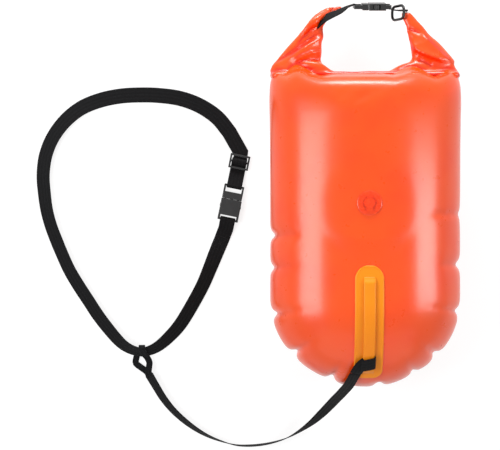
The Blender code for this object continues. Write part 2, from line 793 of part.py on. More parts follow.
def make_patch(patch_fabric, web):
    radius = PATCH_WIDTH / 2
    end_step = radius / 12
    rings = patch_rings(end_step, PATCH_LENGTH - end_step, stadium_half_width,
                        lambda along: SKIN_GAP, PATCH_THICKNESS, 6)
    add_object("patch_base", sweep(rings), patch_fabric)
    rings = patch_rings(STRIP_START, STRIP_START + STRIP_LENGTH, lambda along: STRIP_WIDTH / 2,
                        strip_low, STRIP_THICKNESS, 4)
    add_object("patch_strip", sweep(rings), patch_fabric)
    hitch_end = HITCH_START + HITCH_WIDTH
    inner_half = STRIP_WIDTH / 2 + GAP
    base_top = SKIN_GAP + PATCH_THICKNESS
    inner_low = base_top + GAP + LEASH_THICKNESS
    inner_high = base_top + STRIP_LIFT + STRIP_THICKNESS + GAP
    places, step = patch_line()
    outer = []
    inner = []
    for along in (HITCH_START, (HITCH_START + hitch_end) / 2, hitch_end):
        y = places[round(along / step)]
        grown = inner_half + LEASH_THICKNESS
        outer.append([front_point(x, y, lift) for x, lift in (
            (-grown, base_top + GAP),
            (0.0, base_top + GAP),
            (grown, base_top + GAP),
            (grown, inner_high + LEASH_THICKNESS),
            (0.0, inner_high + LEASH_THICKNESS),
            (-grown, inner_high + LEASH_THICKNESS),
        )])
        inner.append([front_point(x, y, lift) for x, lift in (
            (-inner_half, inner_low),
            (0.0, inner_low),
            (inner_half, inner_low),
            (inner_half, inner_high),
            (0.0, inner_high),
            (-inner_half, inner_high),
        )])
    add_object("leash_hitch", hollow_sweep(outer, inner), web)


# Buckles

def make_socket(name, parent, plastic):
    half = BUCKLE_WIDTH / 2
    body = block((-half, SOCKET_END, -SOCKET_THICKNESS / 2), (half, SOCKET_MOUTH, SOCKET_THICKNESS / 2),
                 BUCKLE_BEVEL)
    socket = add_object(name, body, plastic)
    socket.parent = parent
    wide = half + OVERRUN
    deep = SOCKET_THICKNESS / 2 + OVERRUN
    cavity = CAVITY_THICKNESS / 2
    combine(socket, block((-CAVITY_WIDTH / 2, CAVITY_END, -cavity),
                          (CAVITY_WIDTH / 2, SOCKET_MOUTH + OVERRUN, cavity)), name + "_cavity")
    combine(socket, block((-wide, WINDOW_START, -cavity), (wide, WINDOW_END, cavity)), name + "_windows")
    combine(socket, block((-SLOT_WIDTH / 2, SOCKET_BAR_Y + BAR_LENGTH / 2, -deep),
                          (SLOT_WIDTH / 2, TAIL_START, deep)), name + "_slot")
    for side, label in ((1, "_top"), (-1, "_under")):
        thin_limits(socket, name + label, side, SOCKET_END - OVERRUN, TAIL_START,
                    TAIL_THICKNESS / 2, wide, deep)
        thin_limits(socket, name + label + "_bar", side, SOCKET_END - OVERRUN,
                    SOCKET_BAR_Y + BAR_LENGTH / 2 + GAP, BAR_THICKNESS / 2, SLOT_WIDTH / 2, deep)
    return socket


def thin_limits(target, name, side, start, end, half_left, half_across, deep):
    """Take away what lies beyond a half thickness, above or under."""
    lows = (-half_across, start, min(side * half_left, side * deep))
    highs = (half_across, end, max(side * half_left, side * deep))
    combine(target, block(lows, highs), name + "_trim")


def make_clip(name, parent, plastic):
    half = CLIP_WIDTH / 2
    frame_end = CLIP_BAR_Y + BAR_LENGTH / 2
    start = SOCKET_MOUTH + GAP
    body = block((-half, start, -CLIP_THICKNESS / 2), (half, frame_end, CLIP_THICKNESS / 2), BUCKLE_BEVEL)
    clip = add_object(name, body, plastic)
    clip.parent = parent
    wide = half + OVERRUN
    deep = CLIP_THICKNESS / 2 + OVERRUN
    combine(clip, block((-SLOT_WIDTH / 2, CLIP_SLOT_START, -deep),
                        (SLOT_WIDTH / 2, CLIP_BAR_Y - BAR_LENGTH / 2, deep)), name + "_slot")
    for side, label in ((1, "_top"), (-1, "_under")):
        thin_limits(clip, name + label, side, CLIP_FRAME_START, frame_end + OVERRUN,
                    CLIP_FRAME_THICKNESS / 2, wide, deep)
        thin_limits(clip, name + label + "_bar", side, CLIP_BAR_Y - BAR_LENGTH / 2 - GAP,
                    frame_end + OVERRUN, BAR_THICKNESS / 2, SLOT_WIDTH / 2, deep)
    pocket = PRONG_THICKNESS / 2 + GAP
    for side, label in ((1, "_pocket_right"), (-1, "_pocket_left")):
        middle = side * PRONG_ROOT_X
        combine(clip, block((middle - PRONG_POCKET_WIDTH / 2, start - OVERRUN, -pocket),
                            (middle + PRONG_POCKET_WIDTH / 2, start + PRONG_POCKET_DEPTH, pocket)),
                name + label)
    combine(clip, block((-TONGUE_WIDTH / 2, TONGUE_END, -TONGUE_THICKNESS / 2),
                        (TONGUE_WIDTH / 2, start + GAP, TONGUE_THICKNESS / 2)), name + "_tongue", "UNION")
    return clip


def make_prong(name, parent, side, plastic):
    """One springy arm. Its own empty is on the line that it bends about."""
    axis = add_empty(name + "_axis", (side * PRONG_ROOT_X, PRONG_AXIS_Y, 0.0), parent=parent)
    rings = []
    for z in (-PRONG_THICKNESS / 2, PRONG_THICKNESS / 2):
        ring = [Vector((side * PRONG_BULGE * out, PRONG_START - PRONG_LENGTH * back - PRONG_AXIS_Y, z))
                for out, back in PRONG_SHARES]
        rings.append(ring)
    prong = add_object(name, sweep(rings), plastic)
    prong.parent = axis
    return prong


def make_slider(parent, plastic):
    half = SLIDER_WIDTH / 2
    length = SLIDER_LENGTH / 2
    thick = SLIDER_THICKNESS / 2
    body = block((-half, -length, -thick), (half, length, thick), SLIDER_BEVEL)
    slider = add_object("belt_slider", body, plastic)
    slider.parent = parent
    slider.location = (0.0, SLIDER_Y, SLIDER_Z - WAIST_PLACE[2])
    deep = thick + OVERRUN
    for side, label in ((1, "upper_slot"), (-1, "lower_slot")):
        lows = (-SLOT_WIDTH / 2, min(side * SLIDER_SLOT_START, side * SLIDER_SLOT_END), -deep)
        highs = (SLOT_WIDTH / 2, max(side * SLIDER_SLOT_START, side * SLIDER_SLOT_END), deep)
        combine(slider, block(lows, highs), label)


# Webbing

def in_frame(matrix, points):
    return [matrix @ Vector(point) for point in points]


def with_across(points, across):
    return [(point, across.copy()) for point in points]


def make_belt(waist, web):
    """From the socket's bar round the waist loop and through the slider to the clip's bar."""
    across = (waist.to_3x3() @ Vector((1.0, 0.0, 0.0))).normalized()
    floor = -WAIST_PLACE[2]
    radius = BUCKLE_ARC_RADIUS
    lying = floor + BELT_THICKNESS
    arc = arc_points(SOCKET_BAR_Y, 0.0, radius, 10, 110, 6)
    away = [(0.0, SOCKET_BAR_Y - 2.2 * radius, lying + 1.6 * radius),
            (0.0, SOCKET_BAR_Y - 4.2 * radius, lying + 0.7 * radius)]
    start = with_across(in_frame(waist, arc + away), -across)
    route = route_stations(belt_route(), ROUTE_STEP)
    rail = SLIDER_Z - SLIDER_THICKNESS / 2 - GAP - BELT_THICKNESS / 2 + floor
    crest = SLIDER_Z + SLIDER_THICKNESS / 2 + GAP + BELT_THICKNESS / 2 + floor
    end_rail = SLIDER_LENGTH / 2
    rise = SLIDER_SLOT_START + GAP
    fall = SLIDER_SLOT_END - BELT_THICKNESS / 2
    weave = [
        (0.0, SLIDER_Y + end_rail + 2 * BELT_THICKNESS, rail),
        (0.0, SLIDER_Y + fall, rail),
        (0.0, SLIDER_Y + rise, crest),
        (0.0, SLIDER_Y - rise, crest),
        (0.0, SLIDER_Y - fall, rail),
        (0.0, SLIDER_Y - end_rail - 2 * BELT_THICKNESS, rail),
        (0.0, CLIP_BAR_Y + 2.2 * radius, rail + 0.8 * radius),
    ]
    last = arc_points(CLIP_BAR_Y, 0.0, radius, 70, 168, 6)
    end = with_across(in_frame(waist, weave + last), -across)
    stations = start + route + end
    add_object("belt_webbing", webbing(stations, BELT_WIDTH, BELT_THICKNESS), web)

    under = arc_points(CLIP_BAR_Y, 0.0, radius, 192, 280, 5)
    low = floor + BELT_THICKNESS / 2 + GAP
    back = [
        (0.0, CLIP_BAR_Y + 2.2 * radius, low + GAP),
        (0.0, SLIDER_Y - end_rail, low),
        (0.0, SLIDER_Y - rise, low + GAP),
    ]
    stations = with_across(in_frame(waist, under + back), across)
    add_object("belt_return", webbing(stations, BELT_WIDTH, BELT_THICKNESS), web)


def beside_belt(x, across_share, past, lift):
    """A mark beside the belt's low part at x: a share across it, a way past that, and lifted."""
    stations = route_stations(belt_route(), BELT_THICKNESS)
    lowest = min(point[1] for point in belt_route())
    low_part = [index for index, (middle, across) in enumerate(stations)
                if middle.y < lowest + BELT_WIDTH / 2]
    nearest = min(low_part, key=lambda index: abs(stations[index][0].x - x))
    middle, across = stations[nearest]
    ahead = (stations[nearest + 1][0] - stations[nearest - 1][0]).normalized()
    upward = across.cross(ahead).normalized()
    place = middle + across * (BELT_WIDTH / 2 * across_share + past) + upward * lift
    return Vector((*place, *-ahead))


def leg_marks(leg, side):
    """Marks along one leg of the eye, which lies level."""
    marks = []
    for index, point in enumerate(leg):
        before = leg[max(index - 1, 0)]
        after = leg[min(index + 1, len(leg) - 1)]
        level = Vector((after[1] - before[1], before[0] - after[0], 0.0)).normalized() * side
        marks.append(Vector((*point, *level)))
    return marks


def eye_stations():
    """Over the belt, round its inner edge and back under it. A mark is a place and a direction."""
    reach = (BELT_THICKNESS + EYE_THICKNESS) / 2 + EYE_SLACK
    change = BODY_FOOT_Y - ROUTES_FOOT_Y
    marks = leg_marks(moved(EYE_OVER_LEG, change), 1)
    marks += [beside_belt(x, share, 0.0, reach) for x, share in EYE_OVER_PLACES]
    for step in range(EYE_TURN_STEPS + 1):
        angle = math.pi * (0.5 - step / EYE_TURN_STEPS)
        past = reach * math.cos(angle)
        marks.append(beside_belt(EYE_TURN_X, 1.0, past, reach * math.sin(angle)))
    marks += [beside_belt(x, share, 0.0, -reach) for x, share in EYE_UNDER_PLACES]
    marks += leg_marks(moved(EYE_UNDER_LEG, change), -1)
    line = smooth_route(marks, EYE_THICKNESS)
    return [(Vector(mark[:3]), Vector(mark[3:]).normalized()) for mark in line]


def make_leash(web):
    stations = route_stations(moved(LEASH_ROUTE, BODY_FOOT_Y - ROUTES_FOOT_Y), ROUTE_STEP)
    add_object("leash_webbing", webbing(stations, LEASH_WIDTH, LEASH_THICKNESS), web)
    add_object("leash_eye", webbing(eye_stations(), EYE_WIDTH, EYE_THICKNESS), web)


def make_handle_webbing(handle, web):
    across = (handle.to_3x3() @ Vector((1.0, 0.0, 0.0))).normalized()
    radius = BUCKLE_ARC_RADIUS
    change = BODY_TOP_Y - ROUTES_ROLL_Y
    route = route_stations(moved(HANDLE_STRAP_ROUTE, change), ROUTE_STEP)
    toward = -across if route[-1][1].dot(across) < 0.0 else across
    arc = in_frame(handle, arc_points(CLIP_BAR_Y, 0.0, radius, 60, 175, 7))
    stations = route + with_across(arc, toward)
    add_object("handle_strap", webbing(stations, HANDLE_WEB_WIDTH, HANDLE_WEB_THICKNESS), web)
    route = route_stations(moved(HANDLE_TAB_ROUTE, change), ROUTE_STEP)
    toward = -across if route[0][1].dot(across) < 0.0 else across
    arc = in_frame(handle, arc_points(SOCKET_BAR_Y, 0.0, radius, -5, -110, 6))
    stations = with_across(arc, toward) + route
    add_object("handle_tab", webbing(stations, HANDLE_WEB_WIDTH, HANDLE_WEB_THICKNESS), web)


def make_ring(plastic):
    """An oval ring. Its empty is on its top bar, which it swings about."""
    along_bar = Vector((math.cos(RING_TILT), 0.0, math.sin(RING_TILT)))
    down = Vector((0.0, -1.0, 0.0))
    facing = along_bar.cross(down)
    axis = add_empty("handle_ring_axis", (RING_X, RING_TOP_Y, SEAM_HEIGHT))
    corner = RING_CORNER_RADIUS
    rings = []
    centres = []
    for index, (side, depth) in enumerate(
        ((1, corner), (1, RING_HEIGHT - corner), (-1, RING_HEIGHT - corner), (-1, corner))
    ):
        middle = along_bar * (side * (RING_HALF_WIDTH - corner)) + down * depth
        for step in range(RING_CORNER_STEPS + 1):
            angle = math.radians(90.0) * (index - 1 + step / RING_CORNER_STEPS)
            outward = along_bar * math.cos(angle) + down * math.sin(angle)
            centres.append((middle + outward * corner, outward))
    for centre, outward in centres:
        ring = []
        for step in range(RING_SIDES):
            angle = 2 * math.pi * step / RING_SIDES
            ring.append(centre + (outward * math.cos(angle) + facing * math.sin(angle)) * RING_WIRE_RADIUS)
        rings.append(ring)
    ring = add_object("handle_ring", sweep(rings, closed=True), plastic)
    ring.parent = axis


def main():
    clear_scene()
    fabric = material("orange_coated_fabric", ORANGE_FABRIC, 0.35)
    liner_film = material("grey_liner_film", LINER_GREY, 0.5)
    stiffener_plastic = material("stiffener_plastic", STIFFENER_BLACK, 0.5)
    valve_plastic = material("orange_valve_plastic", ORANGE_VALVE, 0.3)
    patch_fabric = material("yellow_coated_fabric", YELLOW_FABRIC, 0.45)
    web = material("black_webbing", BLACK_WEBBING, 0.85)
    plastic = material("black_buckle_plastic", BLACK_PLASTIC, 0.35)

    make_panels(fabric)
    make_liner(liner_film)
    make_roll(fabric, stiffener_plastic)
    make_horn("left_horn", LEFT_HORN_FOOT_X, LEFT_HORN_WIDTH, LEFT_HORN_LENGTH, LEFT_HORN_LEAN,
              LEFT_HORN_SHARES, fabric)
    make_horn("right_horn", RIGHT_HORN_FOOT_X, RIGHT_HORN_WIDTH, RIGHT_HORN_LENGTH, -RIGHT_HORN_LEAN,
              RIGHT_HORN_SHARES, fabric)
    make_flange(valve_plastic)
    make_valve(valve_plastic)
    make_patch(patch_fabric, web)

    waist = add_empty("waist_buckle_place", WAIST_PLACE, (0.0, 0.0, WAIST_TURN))
    handle = add_empty("handle_buckle_place", (HANDLE_X, HANDLE_Y, SEAM_HEIGHT),
                       (HANDLE_TURN, 0.0, math.radians(90.0)), "ZYX")
    for place, socket_name, clip_name, first, second in (
        (waist, "waist_socket", "waist_clip", "waist_prong_right", "waist_prong_left"),
        (handle, "handle_socket", "handle_clip", "handle_prong_front", "handle_prong_back"),
    ):
        make_socket(socket_name, place, plastic)
        make_clip(clip_name, place, plastic)
        make_prong(first, place, 1, plastic)
        make_prong(second, place, -1, plastic)
    make_slider(waist, plastic)
    waist_matrix = Matrix.LocRotScale(waist.location, waist.rotation_euler, None)
    turn = Matrix.Rotation(HANDLE_TURN, 4, "X") @ Matrix.Rotation(math.radians(90.0), 4, "Z")
    handle_matrix = Matrix.Translation(handle.location) @ turn
    make_belt(waist_matrix, web)
    make_leash(web)
    make_handle_webbing(handle_matrix, web)
    make_ring(plastic)


main()
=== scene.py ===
# %% [markdown]
# # An open water swim buoy
#
# A swimmer tows this bright bag on a short leash. It is blown up through a valve, its top is
# rolled shut and clipped into a handle, and a waist belt holds the leash. The solid model gives
# every piece its place. This lesson gives the pieces their folds, weave, welds and finish. All
# lengths are in metres.

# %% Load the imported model
import math

import bmesh
import bpy
import numpy as np
from mathutils import Matrix, Vector


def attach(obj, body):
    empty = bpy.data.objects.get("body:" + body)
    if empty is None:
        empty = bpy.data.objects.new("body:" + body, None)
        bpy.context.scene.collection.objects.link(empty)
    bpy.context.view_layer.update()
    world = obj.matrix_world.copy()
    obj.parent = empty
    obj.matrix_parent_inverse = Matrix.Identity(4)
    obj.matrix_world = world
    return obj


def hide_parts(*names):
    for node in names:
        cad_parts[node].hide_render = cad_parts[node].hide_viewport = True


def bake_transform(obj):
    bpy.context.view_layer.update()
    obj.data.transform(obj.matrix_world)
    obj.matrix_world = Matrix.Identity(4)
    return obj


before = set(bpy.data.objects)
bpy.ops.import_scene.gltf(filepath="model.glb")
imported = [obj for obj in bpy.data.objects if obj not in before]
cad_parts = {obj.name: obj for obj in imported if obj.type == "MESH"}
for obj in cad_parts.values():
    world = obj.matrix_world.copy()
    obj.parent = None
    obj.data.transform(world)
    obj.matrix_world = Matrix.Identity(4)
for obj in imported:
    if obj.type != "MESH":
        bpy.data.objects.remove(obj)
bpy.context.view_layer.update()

# %% [markdown]
# ## Camera
#
# The buoy lies flat and is seen from straight above. A long lens from 2.6 m keeps the sides of
# the thick bag from leaning outwards too much. The lens follows from the width of floor in view.

# %% Camera above the floor
VIEW_WIDTH = 0.825           # of floor, from the left to the right edge of the picture
CAMERA_PLACE = (-0.18355, -0.04948, 2.6)
SENSOR_WIDTH = 36.0          # in millimetres, as a lens is

camera_data = bpy.data.cameras.new("camera")
camera_data.sensor_width = SENSOR_WIDTH
camera_data.lens = SENSOR_WIDTH * CAMERA_PLACE[2] / VIEW_WIDTH
camera = bpy.data.objects.new("camera", camera_data)
camera.location = CAMERA_PLACE
bpy.context.scene.collection.objects.link(camera)
bpy.context.scene.camera = camera
print("lens:", round(camera_data.lens, 1), "mm")

# %% [markdown]
# ## Routes of the webbing
#
# The belt and the leash are flat polypropylene webbing. They lie where a few marks say: a place
# for the middle of the band and a tilt about its own run. A smooth curve goes through the marks,
# and a band with soft edges follows it. Simulation would be of no use here, because the way they
# were laid out by hand is what makes the picture.

# %% Marks of the leash, its eye and the belt
LEASH_ROUTE = (
    (-0.0196, -0.2806, 0.1502, 27),
    (-0.0240, -0.2908, 0.1386, 28),
    (-0.0290, -0.3020, 0.1230, 28),
    (-0.0370, -0.3150, 0.1010, 30),
    (-0.0460, -0.3280, 0.0780, 31),
    (-0.0560, -0.3420, 0.0570, 34),
    (-0.0670, -0.3560, 0.0400, 40),
    (-0.0810, -0.3710, 0.0260, 53),
    (-0.0970, -0.3840, 0.0170, 67),
    (-0.1180, -0.3970, 0.0120, 80),
    (-0.1390, -0.4050, 0.0108, 87),
    (-0.1620, -0.4100, 0.0106, 90),
    (-0.1850, -0.4120, 0.0106, 90),
    (-0.2070, -0.4110, 0.0106, 86),
    (-0.2300, -0.4050, 0.0105, 78),
    (-0.2530, -0.3960, 0.0104, 70),
    (-0.2740, -0.3840, 0.0100, 62),
    (-0.2940, -0.3690, 0.0095, 56),
    (-0.3120, -0.3520, 0.0090, 52),
    (-0.3270, -0.3330, 0.0088, 48),
    (-0.3380, -0.3150, 0.0085, 46),
    (-0.3455, -0.3025, 0.0082, 44),
    (-0.3497, -0.2955, 0.0080, 42),
)
EYE_OVER_LEG = (
    (-0.3503, -0.2944, 0.0099),
    (-0.3506, -0.2918, 0.0100),
    (-0.3500, -0.2870, 0.0101),
    (-0.3492, -0.2810, 0.0098),
    (-0.3490, -0.2750, 0.0088),
)
EYE_UNDER_LEG = (
    (-0.3722, -0.2752, 0.0022),
    (-0.3697, -0.2792, 0.0034),
    (-0.3645, -0.2830, 0.0048),
    (-0.3588, -0.2868, 0.0060),
    (-0.3540, -0.2903, 0.0068),
    (-0.3505, -0.2941, 0.0072),
)
# Where the eye lies on the belt: place in X and share of the belt's half width
EYE_OVER_PLACES = ((-0.3540, -1.0), (-0.3575, -0.1), (-0.3592, 0.6))
EYE_TURN_X = -0.3598
EYE_TURN_STEPS = 4
EYE_UNDER_PLACES = ((-0.3604, 0.6), (-0.3630, -0.1), (-0.3680, -0.9), (-0.3692, -1.1))
EYE_SLACK = 0.0018
BELT_ROUTE = (
    (-0.2305, -0.0740, 0.0016, 2),
    (-0.2400, -0.0970, 0.0040, 12),
    (-0.2500, -0.1220, 0.0060, 22),
    (-0.2610, -0.1480, 0.0070, 27),
    (-0.2770, -0.1780, 0.0072, 28),
    (-0.2970, -0.2110, 0.0078, 30),
    (-0.3150, -0.2320, 0.0090, 36),
    (-0.3350, -0.2490, 0.0140, 44),
    (-0.3540, -0.2570, 0.0175, 50),
    (-0.3670, -0.2570, 0.0175, 50),
    (-0.3840, -0.2510, 0.0145, 44),
    (-0.4020, -0.2370, 0.0100, 36),
    (-0.4300, -0.2030, 0.0078, 30),
    (-0.4500, -0.1730, 0.0075, 29),
    (-0.4670, -0.1470, 0.0072, 28),
    (-0.4810, -0.1230, 0.0074, 29),
    (-0.4920, -0.0990, 0.0074, 29),
    (-0.5020, -0.0750, 0.0072, 28),
    (-0.5110, -0.0510, 0.0074, 29),
    (-0.5180, -0.0250, 0.0072, 28),
    (-0.5220, 0.0030, 0.0066, 25),
    (-0.5240, 0.0330, 0.0062, 23),
    (-0.5200, 0.0650, 0.0056, 20),
    (-0.5080, 0.0950, 0.0052, 18),
    (-0.4880, 0.1220, 0.0042, 14),
    (-0.4620, 0.1430, 0.0034, 10),
    (-0.4310, 0.1560, 0.0022, 5),
    (-0.3980, 0.1630, 0.0015, 2),
    (-0.3650, 0.1650, 0.0012, 0),
    (-0.3320, 0.1640, 0.0012, 0),
    (-0.2980, 0.1590, 0.0012, 0),
    (-0.2660, 0.1470, 0.0012, 0),
    (-0.2380, 0.1280, 0.0012, 0),
    (-0.2180, 0.1040, 0.0014, 0),
)
print("marks:", len(LEASH_ROUTE), "leash,", len(BELT_ROUTE), "belt")

# %% A smooth curve through marks
ROUTE_STEP = 0.0055


def signed_power(value, power):
    """A value raised to a power, with its sign kept."""
    return math.copysign(abs(value) ** power, value)


def smooth_route(points, step):
    """Points read from a smooth curve through the route's own points."""
    route = [Vector(point) for point in points]
    padded = [route[0] * 2 - route[1]] + route + [route[-1] * 2 - route[-2]]
    made = []
    for index in range(1, len(padded) - 2):
        a, b, c, d = padded[index - 1:index + 3]
        count = max(1, round((Vector(c[:3]) - Vector(b[:3])).length / step))
        for part in range(count):
            t = part / count
            made.append(0.5 * (2 * b + (c - a) * t + (2 * a - 5 * b + 4 * c - d) * t ** 2
                               + (3 * b - a - 3 * c + d) * t ** 3))
    made.append(route[-1])
    return made


def route_stations(route, step):
    """Middle and across direction of the webbing at each point of a route."""
    line = smooth_route(route, step)
    stations = []
    for index, point in enumerate(line):
        before = line[max(index - 1, 0)].xyz
        after = line[min(index + 1, len(line) - 1)].xyz
        ahead = (after - before).normalized()
        level = Vector((ahead.y, -ahead.x, 0.0)).normalized()
        upward = level.cross(ahead)
        tilt = math.radians(point.w)
        stations.append((point.xyz.copy(), level * math.cos(tilt) + upward * math.sin(tilt)))
    return stations


def route_length(stations):
    places = [middle for middle, across in stations]
    return sum((after - before).length for before, after in zip(places, places[1:]))


print("leash:", round(route_length(route_stations(LEASH_ROUTE, ROUTE_STEP)), 3), "m")

# %% [markdown]
# ## A band of webbing
#
# Woven webbing is flat, with soft round edges. Each ring of the mesh is that section, and the
# mesh carries its own UV map in metres: along the band and across it. The weave and the ribs of
# the material follow that map, so they bend with the band.

# %% Band mesh with a UV map in metres
# Shares of the half width and of the half thickness, once round the section
BAND_SHARES = (
    (-1.0, 0.0), (-0.975, 0.72), (-0.90, 1.0), (-0.6, 0.94), (-0.2, 0.92),
    (0.2, 0.92), (0.6, 0.94), (0.90, 1.0), (0.975, 0.72),
    (1.0, 0.0), (0.975, -0.72), (0.90, -1.0), (0.6, -0.94), (0.2, -0.92),
    (-0.2, -0.92), (-0.6, -0.94), (-0.90, -1.0), (-0.975, -0.72),
)


def tidy_normals(mesh):
    """Turn all faces outwards."""
    form = bmesh.new()
    form.from_mesh(mesh)
    bmesh.ops.recalc_face_normals(form, faces=form.faces[:])
    form.to_mesh(mesh)
    form.free()


def wall_faces(rows, count, start=0, closed=False):
    """Faces between rings of points that all have the same count."""
    faces = []
    for row in range(rows if closed else rows - 1):
        first = start + row * count
        above = start + (row + 1) % rows * count
        for place in range(count):
            after = (place + 1) % count
            faces.append((first + place, first + after, above + after, above + place))
    return faces


def link_mesh(name, mesh, finish):
    """Put a mesh in the scene as a smooth object with one material."""
    made = bpy.data.objects.new(name, mesh)
    bpy.context.scene.collection.objects.link(made)
    if finish is not None:
        mesh.materials.append(finish)
    mesh.shade_smooth()
    return made


def band_rings(stations, width, thickness):
    """One ring of points at each station, and each ring's distance from the start."""
    rings = []
    distances = []
    travelled = 0.0
    for index, (middle, across) in enumerate(stations):
        before = stations[max(index - 1, 0)][0]
        after = stations[min(index + 1, len(stations) - 1)][0]
        ahead = (after - before).normalized()
        side = (across - ahead * across.dot(ahead)).normalized()
        normal = side.cross(ahead)
        travelled += (middle - before).length
        distances.append(travelled)
        rings.append([middle + side * (width / 2 * wide) + normal * (thickness / 2 * thick)
                      for wide, thick in BAND_SHARES])
    return rings, distances


def webbing_form(name, rings, distances, width, faces, finish):
    """An object from rings of the section, with its UV map along and across the webbing."""
    mesh = bpy.data.meshes.new(name)
    mesh.from_pydata([point for ring in rings for point in ring], [], faces)
    layer = mesh.uv_layers.new(name="along_and_across")
    for loop in mesh.loops:
        row, place = divmod(loop.vertex_index, len(BAND_SHARES))
        layer.data[loop.index].uv = (distances[row], width / 2 * BAND_SHARES[place][0])
    tidy_normals(mesh)
    return link_mesh(name, mesh, finish)


def make_band(name, stations, width, thickness, finish):
    """A closed flat band with rounded edges along its stations."""
    rings, distances = band_rings(stations, width, thickness)
    count = len(BAND_SHARES)
    faces = wall_faces(len(rings), count)
    faces.append(tuple(range(count)))
    faces.append(tuple(len(rings) * count - 1 - place for place in range(count)))
    return webbing_form(name, rings, distances, width, faces, finish)


print("band section:", len(BAND_SHARES), "points")

# %% [markdown]
# ## Materials as short expressions
#
# A procedural material is a small calculation at every point of the surface. The class below
# wraps a node's output, so that sums in Python become Math nodes, and one method makes any other
# node. A value that is the same everywhere is set on the shader itself.

# %% Shader maths
class Amount:
    """A number that changes over the surface."""

    def __init__(self, finish, socket):
        self.finish = finish
        self.socket = socket

    def __add__(self, other):
        return self.finish.sum_of("ADD", self, other)

    def __radd__(self, other):
        return self.finish.sum_of("ADD", other, self)

    def __sub__(self, other):
        return self.finish.sum_of("SUBTRACT", self, other)

    def __rsub__(self, other):
        return self.finish.sum_of("SUBTRACT", other, self)

    def __mul__(self, other):
        return self.finish.sum_of("MULTIPLY", self, other)

    def __rmul__(self, other):
        return self.finish.sum_of("MULTIPLY", other, self)

    def __truediv__(self, other):
        return self.finish.sum_of("DIVIDE", self, other)

    def __rtruediv__(self, other):
        return self.finish.sum_of("DIVIDE", other, self)


class Finish:
    """One material, or the world, and the nodes that make it."""

    def __init__(self, name="", world=None):
        self.material = world or bpy.data.materials.new(name)
        self.material.use_nodes = True
        self.tree = self.material.node_tree
        self.surface = self.tree.nodes["Background" if world else "Principled BSDF"]

    def feed(self, socket, value):
        if isinstance(value, Amount):
            self.tree.links.new(value.socket, socket)
        else:
            socket.default_value = value

    def add(self, kind, settings=(), values=(), output=0):
        """Make a node: its settings first, then what its sockets get."""
        node = self.tree.nodes.new(kind)
        for name, setting in dict(settings).items():
            setattr(node, name, setting)
        for name, value in dict(values).items():
            self.feed(node.inputs[name], value)
        return Amount(self, node.outputs[output]) if node.outputs else None

    def sum_of(self, operation, first, second=0.0):
        return self.add("ShaderNodeMath", {"operation": operation}, {0: first, 1: second})

    def wave(self, value):
        """From 0 to 1 and back, once for each whole turn of the value."""
        turned = self.sum_of("SINE", value * (2 * math.pi))
        return turned * 0.5 + 0.5

    def mix(self, share, first, second):
        """A colour between two colours."""
        return self.add("ShaderNodeMix", {"data_type": "RGBA"}, {0: share, 6: first, 7: second}, 2)

    def ramp(self, value, low, high):
        """0 at low and under it, 1 at high and over it."""
        return self.add("ShaderNodeMapRange", {"interpolation_type": "SMOOTHSTEP"},
                        {"Value": value, "From Min": low, "From Max": high})

    def part(self, vector, axis):
        """One of the three numbers of a vector."""
        return self.add("ShaderNodeSeparateXYZ", (), {0: vector}, axis)

    def place(self):
        """The point's own place on the object, in metres."""
        return self.add("ShaderNodeTexCoord", output="Object")

    def noise(self, where, scale, detail=2.0, roughness=0.5):
        values = {"Vector": where, "Scale": scale, "Detail": detail, "Roughness": roughness}
        return self.add("ShaderNodeTexNoise", (), values, "Fac")

    def bump(self, height, distance):
        """The surface's relief: where the height is 1 it stands the distance high."""
        return self.add("ShaderNodeBump", (), {"Height": height, "Distance": distance,
                                               "Strength": 1.0})

    def plain(self, **values):
        """Set the shader's own sockets; an underscore stands for a space."""
        for name, value in values.items():
            self.feed(self.surface.inputs[name.replace("_", " ")], value)


def colour(red, green, blue):
    return (red, green, blue, 1.0)


print("shader helpers ready")

# %% [markdown]
# ## Webbing
#
# Black webbing looks almost flat black, but close up it has a herringbone of thick yarns with
# fine shadows between them, a plain edge, and a faint grey sheen where fibres stand up. The
# shadows and the sheen are painted into its colour: darker between the yarns, paler on their
# tips and on standing fibres.

# %% Black webbing
YARN_PITCH = 0.0017          # from one weft rib to the next
COLUMN_WIDTH = 0.0028        # of one herringbone column
YARN_RELIEF = 0.00022
WEBBING_COLOUR = colour(0.0026, 0.0026, 0.0030)
# Painted sheen: the paler colour of raised yarns and strands, against the black between them
YARN_PAINTED_SHEEN_COLOUR = colour(0.0095, 0.0095, 0.0110)


def make_webbing_finish():
    finish = Finish("black_webbing_weave")
    flat = finish.add("ShaderNodeUVMap", {"uv_map": "along_and_across"})
    along = finish.part(flat, "X")
    across = finish.part(flat, "Y")
    slant = finish.sum_of("PINGPONG", across, COLUMN_WIDTH)
    ribs = finish.wave((along + slant) / YARN_PITCH)
    column = finish.wave(across / (2 * COLUMN_WIDTH) + 0.25)
    fuzz = finish.noise(finish.place(), 2600.0, 3.0)
    height = ribs * (0.35 + 0.65 * column) + 0.5 * fuzz
    # Painted shade and sheen: darker between the ribs, paler where the weave stands high
    finish.plain(
        Base_Color=finish.mix(finish.ramp(height, 0.5, 1.3), WEBBING_COLOUR, YARN_PAINTED_SHEEN_COLOUR),
        Roughness=0.95 - 0.18 * ribs,
        Normal=finish.bump(height, YARN_RELIEF),
        Sheen_Weight=0.02,
        Sheen_Roughness=0.5,
        Specular_IOR_Level=0.16,
    )
    return finish.material


webbing_finish = make_webbing_finish()
print("material:", webbing_finish.name)

# %% [markdown]
# ## Where the buckles lie
#
# Both buckles are the same side release buckle, in their own frame: +Y runs from the socket to
# the clip. A matrix sets that frame in the scene, and the webbing's turns round the bars are
# given in it.

